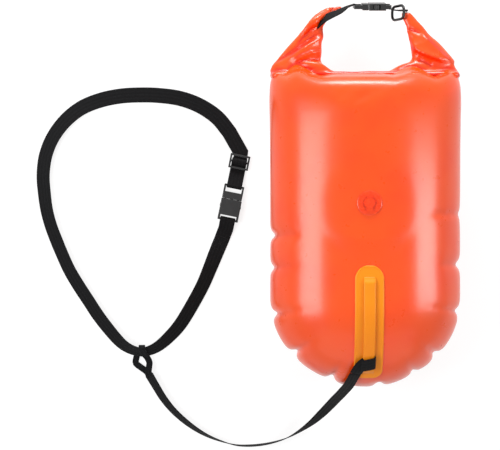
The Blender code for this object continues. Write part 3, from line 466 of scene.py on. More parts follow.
# %% Buckle frames and bars
WAIST_PLACE = (-0.2148, -0.0133, 0.0058)
WAIST_TURN = math.radians(-11.4)
HANDLE_PLACE = (0.0112, 0.2992, 0.085)
HANDLE_TURN = math.radians(-78.0)
BAR_LENGTH = 0.0034
BAR_THICKNESS = 0.0036
SOCKET_BAR_Y = -0.0278
CLIP_BAR_Y = 0.0282
BELT_WIDTH = 0.025
BELT_THICKNESS = 0.0015
GAP = 0.0003                 # air between pieces that lie on each other
BAR_ARC = math.hypot(BAR_LENGTH, BAR_THICKNESS) / 2 + GAP + BELT_THICKNESS / 2

waist = Matrix.Translation(WAIST_PLACE) @ Matrix.Rotation(WAIST_TURN, 4, "Z")
handle = (Matrix.Translation(HANDLE_PLACE) @ Matrix.Rotation(HANDLE_TURN, 4, "X")
          @ Matrix.Rotation(math.radians(90.0), 4, "Z"))
waist_across = waist.to_3x3() @ Vector((1.0, 0.0, 0.0))
handle_across = handle.to_3x3() @ Vector((1.0, 0.0, 0.0))


def arc_points(centre_y, radius, start, end, steps):
    """Points round a bar in the buckle's YZ plane. Angles are in degrees from +Y."""
    angles = [math.radians(start + (end - start) * step / steps) for step in range(steps + 1)]
    return [(0.0, centre_y + radius * math.cos(a), radius * math.sin(a)) for a in angles]


def in_buckle(matrix, points, across):
    return [(matrix @ Vector(point), across.copy()) for point in points]


print("bar arc radius:", round(BAR_ARC * 1000, 2), "mm")

# %% [markdown]
# ## The waist belt
#
# One band runs from the socket's bar round the loop, along the slider and on to the clip's bar,
# and its free end comes back under the slider. The turn of the band over the slider's middle bar
# is a piece of its own, so that it goes with the slider.

# %% Belt and its return
SLIDER_Y = 0.069
SLIDER_LENGTH = 0.0240
SLIDER_THICKNESS = 0.0030
SLIDER_SLOT_START = 0.0018
SLIDER_Z = 0.0055
BELT_RAIL = SLIDER_Z - SLIDER_THICKNESS / 2 - GAP - BELT_THICKNESS / 2 - WAIST_PLACE[2]
CREST_FOOT = 0.0046
ARC_STEPS = 12
RETURN_ARC_STEPS = 10
# Where a band starts and ends its turn round a bar, in degrees from the buckle's +Y
SOCKET_TURN = (10, 110)
CLIP_TURN = (70, 168)
RETURN_TURN = (192, 280)
# Beside the bars, in radii of the arc round them: the way along and the rise
AWAY_MARKS = ((2.2, 1.6), (4.2, 0.7))
CLIP_REACH = 2.2
CLIP_RISE = 0.8


def belt_stations(step):
    """From the socket's bar round the loop and through the slider to the clip's bar."""
    lying = BELT_THICKNESS - WAIST_PLACE[2]
    arc = arc_points(SOCKET_BAR_Y, BAR_ARC, *SOCKET_TURN, ARC_STEPS)
    away = [(0.0, SOCKET_BAR_Y - along * BAR_ARC, lying + rise * BAR_ARC)
            for along, rise in AWAY_MARKS]
    beyond = SLIDER_LENGTH / 2 + 2 * BELT_THICKNESS
    past = [(0.0, SLIDER_Y + beyond, BELT_RAIL), (0.0, SLIDER_Y, BELT_RAIL),
            (0.0, SLIDER_Y - beyond, BELT_RAIL),
            (0.0, CLIP_BAR_Y + CLIP_REACH * BAR_ARC, BELT_RAIL + CLIP_RISE * BAR_ARC)]
    last = arc_points(CLIP_BAR_Y, BAR_ARC, *CLIP_TURN, ARC_STEPS)
    return (in_buckle(waist, arc + away, -waist_across) + route_stations(BELT_ROUTE, step)
            + in_buckle(waist, past + last, -waist_across))


def crest_stations():
    """Up through one slot, over the slider's middle bar and down through the other slot."""
    foot = BELT_RAIL + BELT_THICKNESS / 2 + GAP / 2
    knee = foot + BELT_THICKNESS
    crest = SLIDER_Z + SLIDER_THICKNESS / 2 + GAP + BELT_THICKNESS / 2 - WAIST_PLACE[2]
    rise = SLIDER_SLOT_START + GAP
    half = [(CREST_FOOT, foot), (CREST_FOOT, knee), (rise, crest)]
    points = [(0.0, SLIDER_Y + along, height) for along, height in half]
    points += [(0.0, SLIDER_Y - along, height) for along, height in reversed(half)]
    line = smooth_route([Vector(point).to_4d() for point in points], BELT_THICKNESS / 2)
    return in_buckle(waist, [point.xyz for point in line], -waist_across)


def return_stations():
    """The free end, from the clip's bar back under the slider."""
    low = BELT_THICKNESS / 2 + GAP - WAIST_PLACE[2]
    under = arc_points(CLIP_BAR_Y, BAR_ARC, *RETURN_TURN, RETURN_ARC_STEPS)
    back = [(0.0, CLIP_BAR_Y + CLIP_REACH * BAR_ARC, low + GAP),
            (0.0, SLIDER_Y - SLIDER_LENGTH / 2, low),
            (0.0, SLIDER_Y - SLIDER_SLOT_START - GAP, low + GAP)]
    return in_buckle(waist, under + back, waist_across)


belt_line = belt_stations(ROUTE_STEP)
belt = make_band("waist_belt", belt_line, BELT_WIDTH, BELT_THICKNESS, webbing_finish)
belt_tail = make_band("waist_belt_return", return_stations(), BELT_WIDTH, BELT_THICKNESS,
                      webbing_finish)
belt_crest = make_band("waist_belt_crest", crest_stations(), BELT_WIDTH, BELT_THICKNESS,
                       webbing_finish)
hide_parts("belt_webbing")
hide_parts("belt_return")
print("belt:", round(route_length(belt_line), 3), "m")

# %% [markdown]
# ## The leash
#
# The leash is a narrower band. It hangs from the patch down to the floor, turns on its edge and
# ends in a small eye, where the webbing is folded in half along its length and goes round the
# belt. A sewn stub joins the leash to both legs of the eye.

# %% Leash and eye
LEASH_WIDTH = 0.020
LEASH_THICKNESS = 0.0014
EYE_WIDTH = 0.0105
EYE_THICKNESS = 0.0024


def beside_belt(x, across_share, past, lift):
    """A mark beside the belt's low part at x: a share across it, a way past that, and lifted."""
    stations = route_stations(BELT_ROUTE, BELT_THICKNESS)
    lowest = min(point[1] for point in BELT_ROUTE)
    low_part = [index for index, (middle, across) in enumerate(stations)
                if middle.y < lowest + BELT_WIDTH / 2]
    nearest = min(low_part, key=lambda index: abs(stations[index][0].x - x))
    middle, across = stations[nearest]
    ahead = (stations[nearest + 1][0] - stations[nearest - 1][0]).normalized()
    upward = across.cross(ahead).normalized()
    place = middle + across * (BELT_WIDTH / 2 * across_share + past) + upward * lift
    return Vector((*place, *-ahead))


def leg_marks(leg, side):
    """Marks along one leg of the eye, which lies level."""
    marks = []
    for index, point in enumerate(leg):
        before = leg[max(index - 1, 0)]
        after = leg[min(index + 1, len(leg) - 1)]
        level = Vector((after[1] - before[1], before[0] - after[0], 0.0)).normalized() * side
        marks.append(Vector((*point, *level)))
    return marks


def eye_stations():
    """Over the belt, round its inner edge and back under it."""
    reach = (BELT_THICKNESS + EYE_THICKNESS) / 2 + EYE_SLACK
    marks = leg_marks(EYE_OVER_LEG, 1)
    marks += [beside_belt(x, share, 0.0, reach) for x, share in EYE_OVER_PLACES]
    for step in range(EYE_TURN_STEPS + 1):
        angle = math.pi * (0.5 - step / EYE_TURN_STEPS)
        marks.append(beside_belt(EYE_TURN_X, 1.0, reach * math.cos(angle), reach * math.sin(angle)))
    marks += [beside_belt(x, share, 0.0, -reach) for x, share in EYE_UNDER_PLACES]
    marks += leg_marks(EYE_UNDER_LEG, -1)
    line = smooth_route(marks, EYE_THICKNESS)
    return [(Vector(mark[:3]), Vector(mark[3:]).normalized()) for mark in line]


# The sewn stub where the leash's end and both legs of the eye come together
LEASH_JOIN_ROUTE = (
    (-0.3482, -0.2980, 0.0083, 36),
    (-0.3492, -0.2963, 0.0083, 32),
    (-0.3501, -0.2947, 0.0084, 20),
    (-0.3509, -0.2930, 0.0085, 6),
)
LEASH_JOIN_WIDTH = 0.0124
LEASH_JOIN_THICKNESS = 0.0042

leash_line = route_stations(LEASH_ROUTE, ROUTE_STEP)
eye_line = eye_stations()
leash = make_band("tow_leash", leash_line, LEASH_WIDTH, LEASH_THICKNESS, webbing_finish)
eye = make_band("tow_leash_eye", eye_line, EYE_WIDTH, EYE_THICKNESS, webbing_finish)
leash_join = make_band("tow_leash_join", route_stations(LEASH_JOIN_ROUTE, EYE_THICKNESS),
                       LEASH_JOIN_WIDTH, LEASH_JOIN_THICKNESS, webbing_finish)
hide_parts("leash_webbing")
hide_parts("leash_eye")
print("leash:", round(route_length(leash_line), 3), "m, eye:",
      round(route_length(eye_line), 3), "m")

# %% [markdown]
# ## Coated fabric
#
# The bag is nylon or polyester fabric with a bright coating. The coating is smooth and a little
# glossy, so a window or a lamp gives a broad soft highlight, with a finer gleam on sharp folds. A
# fine scrim of threads shows through it as a faint grid. Painted shade makes the colour a deeper
# red in creases, in puckers and along the bag's top edge, where shade falls.

# %% Orange and yellow coated fabric
SCRIM_PITCH = 0.0011
SCRIM_RELIEF = 0.00004
ORANGE = colour(0.98, 0.082, 0.0006)
ORANGE_DEEP = colour(0.97, 0.064, 0.0004)
# Painted shade: the deeper red put where the film lies in a crease or just by the bag's top edge
ORANGE_PAINTED_SHADE = colour(0.74, 0.016, 0.0002)
YELLOW = colour(0.98, 0.290, 0.0012)
YELLOW_DEEP = colour(0.94, 0.250, 0.0010)


def make_fabric_finish(name, light_tone, deep_tone, base_roughness, coat):
    finish = Finish(name)
    where = finish.place()
    lengthwise = finish.wave(finish.part(where, "Y") / SCRIM_PITCH)
    crosswise = finish.wave(finish.part(where, "X") / SCRIM_PITCH)
    cloud = finish.noise(where, 14.0, 3.0)
    grain = finish.noise(where, 900.0, 2.0)
    scuff = finish.noise(where, 70.0, 4.0, 0.65)
    height = lengthwise * 0.3 + crosswise * 0.3 + grain * 0.8
    tone = finish.mix(finish.ramp(cloud, 0.35, 0.75), light_tone, deep_tone)
    # Painted shade of creases and of the top edge, kept on the mesh, darkens the colour here
    crease = finish.add("ShaderNodeAttribute", {"attribute_name": "painted_fold_shade"}, output="Fac")
    finish.plain(
        Base_Color=finish.mix(crease, tone, ORANGE_PAINTED_SHADE),
        Roughness=base_roughness + 0.10 * scuff,
        Normal=finish.bump(height, SCRIM_RELIEF),
        Coat_Weight=coat,
        Coat_Roughness=0.22,
        Specular_IOR_Level=0.4,
    )
    return finish.material


orange_finish = make_fabric_finish("orange_coated_fabric_gloss", ORANGE, ORANGE_DEEP,
                                   base_roughness=0.24, coat=0.30)
yellow_finish = make_fabric_finish("yellow_coated_fabric_satin", YELLOW, YELLOW_DEEP,
                                   base_roughness=0.45, coat=0.05)
print("materials:", orange_finish.name, yellow_finish.name)

# %% [markdown]
# ## The inflated bag
#
# Two flat panels are welded round their edge and blown up. Flat film can't bulge without
# shrinking at the edge, so the weld is drawn in here and there, and a short sharp crease runs
# from each such place towards the middle. The bag starts as a smooth closed form from the sizes
# of the solid panels, with fuller shoulders. Its puckers are pressed in, and a short cloth
# simulation under pressure makes the lobes between them full and round.

# %% Sizes of the bag
BAG_WIDTH = 0.309
BODY_FOOT_Y = -0.308
FOOT_LENGTH = 0.139
SHOULDER_LENGTH = 0.074
BODY_TOP_Y = 0.1865
SHOULDER_DRAW = 0.004
SHOULDER_DRAW_POWER = 3
SEAM_HEIGHT = 0.085
FRONT_BULGE = 0.098
BACK_BULGE = 0.090
FOOT_CENTRE_Y = BODY_FOOT_Y + FOOT_LENGTH
SHOULDER_Y = BODY_TOP_Y - SHOULDER_LENGTH
FOOT_ROWS = 26
MIDDLE_ROWS = 36
SHOULDER_ROWS = 18
SIDE_COLUMNS = 44
NECK_ROWS = 3
NECK_LENGTH = 0.0060         # how far the film runs over the roll
NECK_HALF = 0.0222           # half the height of the roll in its film
NECK_START_Y = 0.145
NECK_ROUNDING = 0.5          # 1 is an oval; less is squarer
JOIN_POWER = 4               # how sharply the bag's dome turns into its neck
SHOULDER_POWER = 4.6         # 2 is an ellipse; more is fuller


def outline_rows():
    """Place along the bag, half width and height share of each row."""
    half = BAG_WIDTH / 2
    rows = []
    for index in range(1, FOOT_ROWS + 1):
        angle = math.radians(90.0) * (1 - index / FOOT_ROWS)
        rows.append((FOOT_CENTRE_Y - FOOT_LENGTH * math.sin(angle), half * math.cos(angle),
                     math.cos(angle)))
    for index in range(1, MIDDLE_ROWS + 1):
        share = index / MIDDLE_ROWS
        rows.append((FOOT_CENTRE_Y + (SHOULDER_Y - FOOT_CENTRE_Y) * share, half, 1.0))
    for index in range(1, SHOULDER_ROWS + 1):
        angle = math.radians(90.0) * index / SHOULDER_ROWS
        rows.append((SHOULDER_Y + SHOULDER_LENGTH * math.sin(angle),
                     half - SHOULDER_DRAW * math.sin(angle) ** SHOULDER_DRAW_POWER,
                     max(0.0, 1 - math.sin(angle) ** SHOULDER_POWER) ** (1 / SHOULDER_POWER)))
    for index in range(1, NECK_ROWS + 1):
        rows.append((BODY_TOP_Y + NECK_LENGTH * index / NECK_ROWS, half - SHOULDER_DRAW, 0.0))
    return rows


def neck_share(along):
    """The film runs over the roll: 0 on the bag, 1 at the roll."""
    share = min(1.0, max(0.0, (along - NECK_START_Y) / (BODY_TOP_Y - NECK_START_Y)))
    return share * share * (3 - 2 * share)


def smooth_bag():
    """The closed form before its folds: rings round the bag from its foot to its top."""
    points = [Vector((0.0, BODY_FOOT_Y, SEAM_HEIGHT))]
    rows = outline_rows()
    count = 2 * SIDE_COLUMNS
    for along, half, share in rows:
        for place in range(count):
            angle = 2 * math.pi * place / count
            bulge = FRONT_BULGE if math.sin(angle) > 0 else BACK_BULGE
            dome = bulge * share * abs(math.sin(angle))
            neck = NECK_HALF * abs(math.sin(angle)) ** NECK_ROUNDING * neck_share(along)
            rise = (dome ** JOIN_POWER + neck ** JOIN_POWER) ** (1 / JOIN_POWER)
            height = max(0.0, SEAM_HEIGHT + math.copysign(rise, math.sin(angle)))
            points.append(Vector((half * math.cos(angle), along, height)))
    faces = [(0, 1 + (place + 1) % count, 1 + place) for place in range(count)]
    faces += wall_faces(len(rows), count, 1)
    last = 1 + (len(rows) - 1) * count
    for place in range(1, SIDE_COLUMNS):
        faces.append((last + place - 1, last + place, last + count - place,
                      last + (count - place + 1) % count))
    mesh = bpy.data.meshes.new("bag_form")
    mesh.from_pydata(points, [], faces)
    tidy_normals(mesh)
    return mesh


print("rows of the bag:", len(outline_rows()))

# %% Top edge of the bag
# Marks of the edge in X and Y: the film stands in humps in front of both ends of the roll
TOP_EDGE = (
    (-0.1545, 0.1900), (-0.1400, 0.1975), (-0.1263, 0.1950), (-0.1190, 0.2030), (-0.1101, 0.2080),
    (-0.0999, 0.2038), (-0.0897, 0.1978), (-0.0795, 0.1922), (-0.0710, 0.1888), (-0.0600, 0.1912),
    (-0.0480, 0.1925), (0.0300, 0.1925), (0.0423, 0.1908), (0.0496, 0.1950), (0.0605, 0.2005),
    (0.0720, 0.2038), (0.0814, 0.2026), (0.0950, 0.1955), (0.1083, 0.1872), (0.1180, 0.1930),
    (0.1288, 0.2005), (0.1400, 0.1985), (0.1530, 0.1850),
)
EDGE_REACH = 0.024           # how far down the bag the humps fade out
EDGE_POWER = 1.6


def draw_top_edge(points):
    """Move the points near the top along the bag, so that its edge follows the marks."""
    marks = np.array(TOP_EDGE)
    edge = np.interp(points[:, 0], marks[:, 0], marks[:, 1])
    top = BODY_TOP_Y + NECK_LENGTH
    share = np.clip((points[:, 1] - (top - EDGE_REACH)) / EDGE_REACH, 0.0, 1.0)
    points[:, 1] += (edge - top) * share ** EDGE_POWER


print("marks of the top edge:", len(TOP_EDGE))

# %% [markdown]
# ### Fold lines
#
# A fold is given by a few marks and a depth. How far a point lies beside the line decides how
# much of the depth it gets: all of it on the line, and less with every millimetre on either side.
# A narrow reach on one side and a wide one on the other gives a step, as where film lies over
# film. Numpy works this out for all points of a mesh at once.

# %% Folds as a depth beside a line
# Width of the painted shade along a crease
PAINTED_SHADE_WIDTH = 0.0022
FOLD_FADE = 0.22             # share of a fold's length over which each end dies out


def beside_line(places, line):
    """For each place, its distance to a line, positive on the left, and its share along it."""
    best = np.full(len(places), 1e9)
    signed = np.zeros(len(places))
    share = np.zeros(len(places))
    marks = np.array(line, float)
    steps = np.diff(marks, axis=0)
    lengths = np.hypot(steps[:, 0], steps[:, 1])
    total = lengths.sum()
    before = 0.0
    for start, step, length in zip(marks, steps, lengths):
        way = step / length
        offset = places - start
        run = np.clip(offset @ way, 0.0, length)
        away = offset - run[:, None] * way
        distance = np.hypot(away[:, 0], away[:, 1])
        nearer = distance < best
        best[nearer] = distance[nearer]
        left = way[0] * offset[:, 1] - way[1] * offset[:, 0]
        signed[nearer] = (np.sign(left) * distance)[nearer]
        share[nearer] = ((before + run) / total)[nearer]
        before += length
    return signed, share


def soft_ends(share, fade):
    """1 along a line, and down to 0 at both of its ends."""
    ends = np.clip(np.minimum(share, 1.0 - share) / fade, 0.0, 1.0)
    return ends * ends * (3 - 2 * ends)


def fold_depth(places, line, height, left_reach, right_reach):
    """Height of a fold at each place, and the painted shade that darkens its crease."""
    signed, share = beside_line(places, line)
    reach = np.where(signed >= 0.0, left_reach, right_reach)
    ends = soft_ends(share, FOLD_FADE)
    low_side = 1.0 if left_reach < right_reach else -1.0
    # Painted shade: a narrow dark band on the line, on the low side of a raised fold
    middle = low_side * PAINTED_SHADE_WIDTH if height > 0.0 else 0.0
    shade = np.exp(-((signed - middle) / PAINTED_SHADE_WIDTH) ** 2) * ends
    return height * np.exp(-np.abs(signed) / reach) * ends, shade


def set_painted_shade(mesh, shade):
    """Keep each point's painted shade of creases, which darkens the film's colour."""
    layer = mesh.attributes.new("painted_fold_shade", "FLOAT", "POINT")
    layer.data.foreach_set("value", np.clip(shade, 0.0, 1.0))


def mesh_points(mesh):
    points = np.zeros(len(mesh.vertices) * 3)
    mesh.vertices.foreach_get("co", points)
    return points.reshape(-1, 3)


def mesh_normals(mesh):
    normals = np.zeros(len(mesh.vertices) * 3)
    mesh.vertices.foreach_get("normal", normals)
    return normals.reshape(-1, 3)


def set_points(mesh, points):
    mesh.vertices.foreach_set("co", points.reshape(-1))
    mesh.update()


def keep_result(made):
    """Replace an object's mesh by what its modifiers make of it."""
    graph = bpy.context.evaluated_depsgraph_get()
    result = bpy.data.meshes.new_from_object(made.evaluated_get(graph))
    made.modifiers.clear()
    made.data = result
    return made


def even_cells(made, cell, steps):
    """Draw one film of even cells round an object, and even it out in a number of steps."""
    remesh = made.modifiers.new("even_cells", "REMESH")
    remesh.mode = "VOXEL"
    remesh.voxel_size = cell
    even = made.modifiers.new("even_out", "SMOOTH")
    even.iterations = steps
    keep_result(made)


print("fold tools ready")

# %% [markdown]
# ### Puckers round the weld
#
# Each pucker has a place on the outline, the way that its crease runs, a depth and a reach. The
# depth is largest at the weld, and dies out along the crease and up and down the side.

# %% Puckers
# Place in X and Y, direction of the crease in degrees, depth, half width, reach along the crease
PUCKERS = (
    (-0.1545, -0.0654, 0, 0.0078, 0.0058, 0.034),
    (-0.1545, -0.1181, 4, 0.0062, 0.0052, 0.026),
    (-0.1515, -0.1930, 14, 0.0095, 0.0060, 0.034),
    (-0.1190, -0.2590, 42, 0.0115, 0.0058, 0.036),
    (-0.0560, -0.2985, 66, 0.0110, 0.0056, 0.034),
    (0.0217, -0.3075, 95, 0.0120, 0.0042, 0.026),
    (0.0800, -0.2905, 122, 0.0065, 0.0052, 0.028),
    (0.1160, -0.2600, 140, 0.0100, 0.0060, 0.036),
    (0.1528, -0.1880, 168, 0.0075, 0.0058, 0.032),
    (0.1545, -0.1125, 178, 0.0080, 0.0056, 0.028),
    (0.1545, -0.0320, 180, 0.0022, 0.0100, 0.026),
)
CREASE_DEPTH = 0.0022        # of the long shallow crease that runs on from each pucker
CREASE_REACH = 0.052
CREASE_HALF = 0.0040
CLIMB_SHARE = 0.75           # how much climbing the side counts as running along the crease
WIDENING = 1.1
RUN_POWER = 1.5
ASIDE_POWER = 1.25
# Painted shade along each pucker's crease: its strength, its reach and how it fades in from the
# weld
PUCKER_PAINTED_SHADE = 0.9
PAINTED_SHADE_REACH = 0.8            # of the pucker's own reach
PAINTED_SHADE_CLIMB = 0.004


def pucker_depth(points):
    """How far each point is drawn in by all puckers, and the painted shade of its crease."""
    total = np.zeros(len(points))
    shade = np.zeros(len(points))
    for x, y, degrees, depth, half_width, reach in PUCKERS:
        way = np.array((math.cos(math.radians(degrees)), math.sin(math.radians(degrees))))
        offset = points[:, :2] - np.array((x, y))
        along = offset @ way
        aside = offset @ np.array((-way[1], way[0]))
        climb = np.abs(points[:, 2] - SEAM_HEIGHT)
        run = np.hypot(np.maximum(along, 0.0), CLIMB_SHARE * climb)
        width = half_width * (1 + WIDENING * run / reach)
        total += (depth * np.exp(-(run / reach) ** RUN_POWER)
                  * np.exp(-(np.abs(aside) / width) ** ASIDE_POWER))
        total += (CREASE_DEPTH * np.exp(-(run / CREASE_REACH) ** 2)
                  * np.exp(-(aside / CREASE_HALF) ** 2))
        # Painted shade: a dark line down the crease, fading in away from the weld
        line = (np.exp(-(run / (PAINTED_SHADE_REACH * reach)) ** 2)
                * np.exp(-(aside / PAINTED_SHADE_WIDTH) ** 2))
        shade += PUCKER_PAINTED_SHADE * line * np.clip(climb / PAINTED_SHADE_CLIMB, 0.0, 1.0)
    return total, shade


print("puckers:", len(PUCKERS))

# %% [markdown]
# ### Blowing the bag up
#
# The form is remeshed into even cells, which cloth needs, and then the puckers are pressed in.
# Cloth with a light inside pressure runs for twenty frames without gravity. A cap holds back how
# far any point may move, and the film under the valve and the patch doesn't move at all, so
# the welded pieces stay on it.

# %% Cloth simulation of the bag
VOXEL = 0.0046               # size of one cell of the film
EVEN_STEPS = 14
FILM_SETTINGS = (
    ("quality", 5),
    ("mass", 0.3),
    ("tension_stiffness", 15.0),
    ("compression_stiffness", 15.0),
    ("shear_stiffness", 8.0),
    ("bending_stiffness", 0.6),
    ("use_pressure", True),
    ("uniform_pressure_force", 4.0),
)
LAST_FRAME = 20
LOWEST = 0.0004              # no point of the bag goes under this height
MOTION_CAP = 0.0028
HELD_FADE = 0.055            # from film that doesn't move to film that moves freely
PUCKER_FADE = 0.016          # the same for the puckers
TOP_FADE = 0.060
VALVE_Y = -0.0157
PATCH_TOP_Y = -0.111
PATCH_FOOT_Y = -0.292
PATCH_WIDTH = 0.0448
VALVE_HOLD = 0.024           # radius of the film that stays still round the valve
PATCH_SIDE_HOLD = 0.004
PATCH_TOP_HOLD = 0.006


def held_share(points, fade):
    """0 where welded pieces sit on the film, 1 well away from them."""
    front = points[:, 2] > SEAM_HEIGHT
    from_valve = np.hypot(points[:, 0], points[:, 1] - VALVE_Y) - VALVE_HOLD
    from_patch = np.maximum(np.abs(points[:, 0]) - PATCH_WIDTH / 2 - PATCH_SIDE_HOLD,
                            points[:, 1] - PATCH_TOP_Y - PATCH_TOP_HOLD)
    from_patch = np.maximum(from_patch, PATCH_FOOT_Y - points[:, 1])
    away = np.minimum(from_valve, from_patch)
    share = np.clip(away / fade, 0.0, 1.0)
    share = np.where(front, share * share * (3 - 2 * share), 1.0)
    return share * np.clip((BODY_TOP_Y - points[:, 1]) / TOP_FADE, 0.0, 1.0)


def blow_up(made):
    """Run the cloth on the object and keep its capped result in its mesh."""
    start = mesh_points(made.data)
    cloth = made.modifiers.new("air_pressure", "CLOTH")
    for name, value in FILM_SETTINGS:
        setattr(cloth.settings, name, value)
    cloth.settings.effector_weights.gravity = 0.0
    cloth.collision_settings.use_collision = False
    cloth.point_cache.frame_start = 1
    cloth.point_cache.frame_end = LAST_FRAME
    for number in range(1, LAST_FRAME + 1):
        bpy.context.scene.frame_set(number)
    keep_result(made)
    bpy.context.scene.frame_set(1)
    motion = mesh_points(made.data) - start
    size = np.linalg.norm(motion, axis=1, keepdims=True)
    capped = motion * (MOTION_CAP * np.tanh(size / MOTION_CAP) / np.maximum(size, 1e-9))
    points = start + capped * held_share(start, HELD_FADE)[:, None]
    points[:, 2] = np.maximum(points[:, 2], LOWEST)
    set_points(made.data, points)
    return float(size.max())


def make_bag():
    made = link_mesh("bag_shell", smooth_bag(), None)
    even_cells(made, VOXEL, EVEN_STEPS)
    points = mesh_points(made.data)
    draw_top_edge(points)
    set_points(made.data, points)
    drawn, shade = pucker_depth(points)
    points -= mesh_normals(made.data) * (drawn * held_share(points, PUCKER_FADE))[:, None]
    set_points(made.data, points)
    set_painted_shade(made.data, shade)
    moved = blow_up(made)
    return made, moved


bag_body, largest_motion = make_bag()
print("bag:", len(bag_body.data.polygons), "faces, largest motion",
      round(largest_motion * 1000, 1), "mm")

# %% [markdown]
# ## Rolled ends of the bag
#
# Above the bag its flattened top is rolled round a stiff strip, and the two ends of the roll are
# bent up to meet at the buckle. The film of each end lies in slanting pleats. Each end is a fine
# tube through the same ovals as its solid, and steps along given lines make its pleats.

# %% Horn tubes
HORN_FOOT_Y = 0.1953
HORN_THICKNESS = 0.030
FLAP_DROP = 0.0105
HORN_COLUMNS = 96
HORN_ROWS = 84
# Foot in X, width, length, and how far the tip leans in X
LEFT_HORN = (-0.1036, 0.0980, 0.1065, 0.0502)
RIGHT_HORN = (0.0927, 0.1130, 0.0957, -0.0287)
# Shares along the horn: height, lean, width, thickness, drop of the middle
LEFT_HORN_SHARES = (
    (0.0, 0.0, 1.0, 1.0, 0.0),
    (0.0985, -0.070, 0.845, 1.0, 0.0),
    (0.1643, -0.050, 0.735, 1.0, 0.0),
    (0.2947, 0.078, 0.639, 0.92, 0.0),
    (0.4150, 0.187, 0.522, 0.8, 0.0),
    (0.5345, 0.333, 0.441, 0.66, 0.05),
    (0.6549, 0.424, 0.323, 0.52, 0.2),
    (0.7744, 0.583, 0.309, 0.32, 0.7),
    (0.8947, 0.741, 0.220, 0.2, 1.0),
    (0.9833, 1.0, 0.147, 0.14, 1.0),
)
RIGHT_HORN_SHARES = (
    (0.0, 0.0, 1.0, 1.0, 0.0),
    (0.1097, -0.220, 0.774, 1.0, 0.0),
    (0.1829, -0.533, 0.619, 1.0, 0.0),
    (0.3300, -0.334, 0.514, 0.92, 0.0),
    (0.4770, -0.073, 0.421, 0.8, 0.0),
    (0.6241, 0.265, 0.310, 0.62, 0.0),
    (0.7549, 0.477, 0.248, 0.48, 0.0),
    (0.8856, 0.784, 0.198, 0.34, 0.0),
    (1.0, 1.0, 0.136, 0.26, 0.0),
)


def make_tube(name, rings, finish):
    """A closed tube through rings of points, with a middle point on each end."""
    count = len(rings[0])
    points = [point for ring in rings for point in ring]
    faces = wall_faces(len(rings), count)
    for ring, start in ((rings[0], 0), (rings[-1], (len(rings) - 1) * count)):
        middle = sum(ring, Vector()) / count
        points.append(middle)
        for place in range(count):
            faces.append((len(points) - 1, start + place, start + (place + 1) % count))
    mesh = bpy.data.meshes.new(name)
    mesh.from_pydata(points, [], faces)
    tidy_normals(mesh)
    return link_mesh(name, mesh, finish)


def horn_rings(sizes, shares):
    """Ovals along a smooth curve through the shares, read by their height."""
    foot_x, width, length, lean = sizes
    marks = [(height, leaning, drop, wide, thick) for height, leaning, wide, thick, drop in shares]
    rings = []
    for height, leaning, drop, wide, thick in smooth_route(marks, 1 / HORN_ROWS):
        middle = Vector((foot_x + lean * leaning, HORN_FOOT_Y + length * height,
                         SEAM_HEIGHT - FLAP_DROP * drop))
        ring = []
        for place in range(HORN_COLUMNS):
            angle = 2 * math.pi * place / HORN_COLUMNS
            ring.append(middle + Vector((width * wide / 2 * math.cos(angle), 0.0,
                                         HORN_THICKNESS * thick / 2 * math.sin(angle))))
        rings.append(ring)
    return rings


left_horn = make_tube("left_horn_tube", horn_rings(LEFT_HORN, LEFT_HORN_SHARES), None)
right_horn = make_tube("right_horn_tube", horn_rings(RIGHT_HORN, RIGHT_HORN_SHARES), None)
print("horns:", len(left_horn.data.polygons), "and", len(right_horn.data.polygons), "faces")

# %% Outer flap of the left horn and the fold at its foot
# Place of the middle and half thickness of each mark
FLAP_MARKS = (
    (-0.1030, 0.2440, 0.0870, 0.0030),
    (-0.0955, 0.2575, 0.0915, 0.0056),
    (-0.0855, 0.2695, 0.0945, 0.0064),
    (-0.0735, 0.2808, 0.0900, 0.0062),
    (-0.0610, 0.2898, 0.0760, 0.0056),
    (-0.0500, 0.2960, 0.0630, 0.0046),
    (-0.0400, 0.3002, 0.0600, 0.0036),
    (-0.0350, 0.3016, 0.0590, 0.0026),
)
LEFT_HUMP_MARKS = (
    (-0.1060, 0.2090, 0.0930, 0.0045),
    (-0.0950, 0.2065, 0.0960, 0.0075),
    (-0.0830, 0.2030, 0.0965, 0.0095),
    (-0.0720, 0.1995, 0.0960, 0.0085),
    (-0.0620, 0.1955, 0.0950, 0.0062),
    (-0.0530, 0.1925, 0.0940, 0.0040),
)
SAUSAGE_COLUMNS = 20


def make_sausage(name, marks):
    """A round tube along marks whose fourth number is its half thickness."""
    line = smooth_route(marks, ROUTE_STEP / 2)
    rings = []
    for index, mark in enumerate(line):
        before = line[max(index - 1, 0)].xyz
        after = line[min(index + 1, len(line) - 1)].xyz
        ahead = (after - before).normalized()
        side = Vector((ahead.y, -ahead.x, 0.0)).normalized()
        upward = side.cross(ahead)
        angles = [2 * math.pi * place / SAUSAGE_COLUMNS for place in range(SAUSAGE_COLUMNS)]
        rings.append([mark.xyz + (side * math.cos(a) + upward * math.sin(a)) * mark.w
                      for a in angles])
    return make_tube(name, rings, None)


flap = make_sausage("outer_flap", FLAP_MARKS)
left_hump = make_sausage("left_hump", LEFT_HUMP_MARKS)
print("extra forms:", flap.name, left_hump.name)

# %% [markdown]
# ## The roll between the horns
#
# The rolled mouth stands on its edge behind the bag's neck. From above only its round back
# shows, as a thin line behind the film that runs over it.

# %% Rolled mouth
ROLL_LENGTH = 0.304
ROLL_MIDDLE_Y = 0.1888
ROLL_HALF_DEPTH = 0.0066
ROLL_HALF_HEIGHT = 0.0215
ROLL_COLUMNS = 44
ROLL_STATIONS = 120
ROLL_WOBBLES = ((0.0005, 9.0, 0.0), (0.0003, 23.0, 1.0))    # height, waves, start
LAYER_STEP = 0.035           # of the roll's half width, where a layer of film ends
LAYER_TURN = 0.6
ROLL_LAYERS = 3
LAYER_POWER = 6
ROLL_BACK_ROUNDING = 0.6     # 1 is an oval; less is squarer
ROLL_EDGE_ROUNDING = 0.8
ROLL_END_POWER = 40          # how late the roll closes at its ends
ROLL_END_SHARE = 0.02


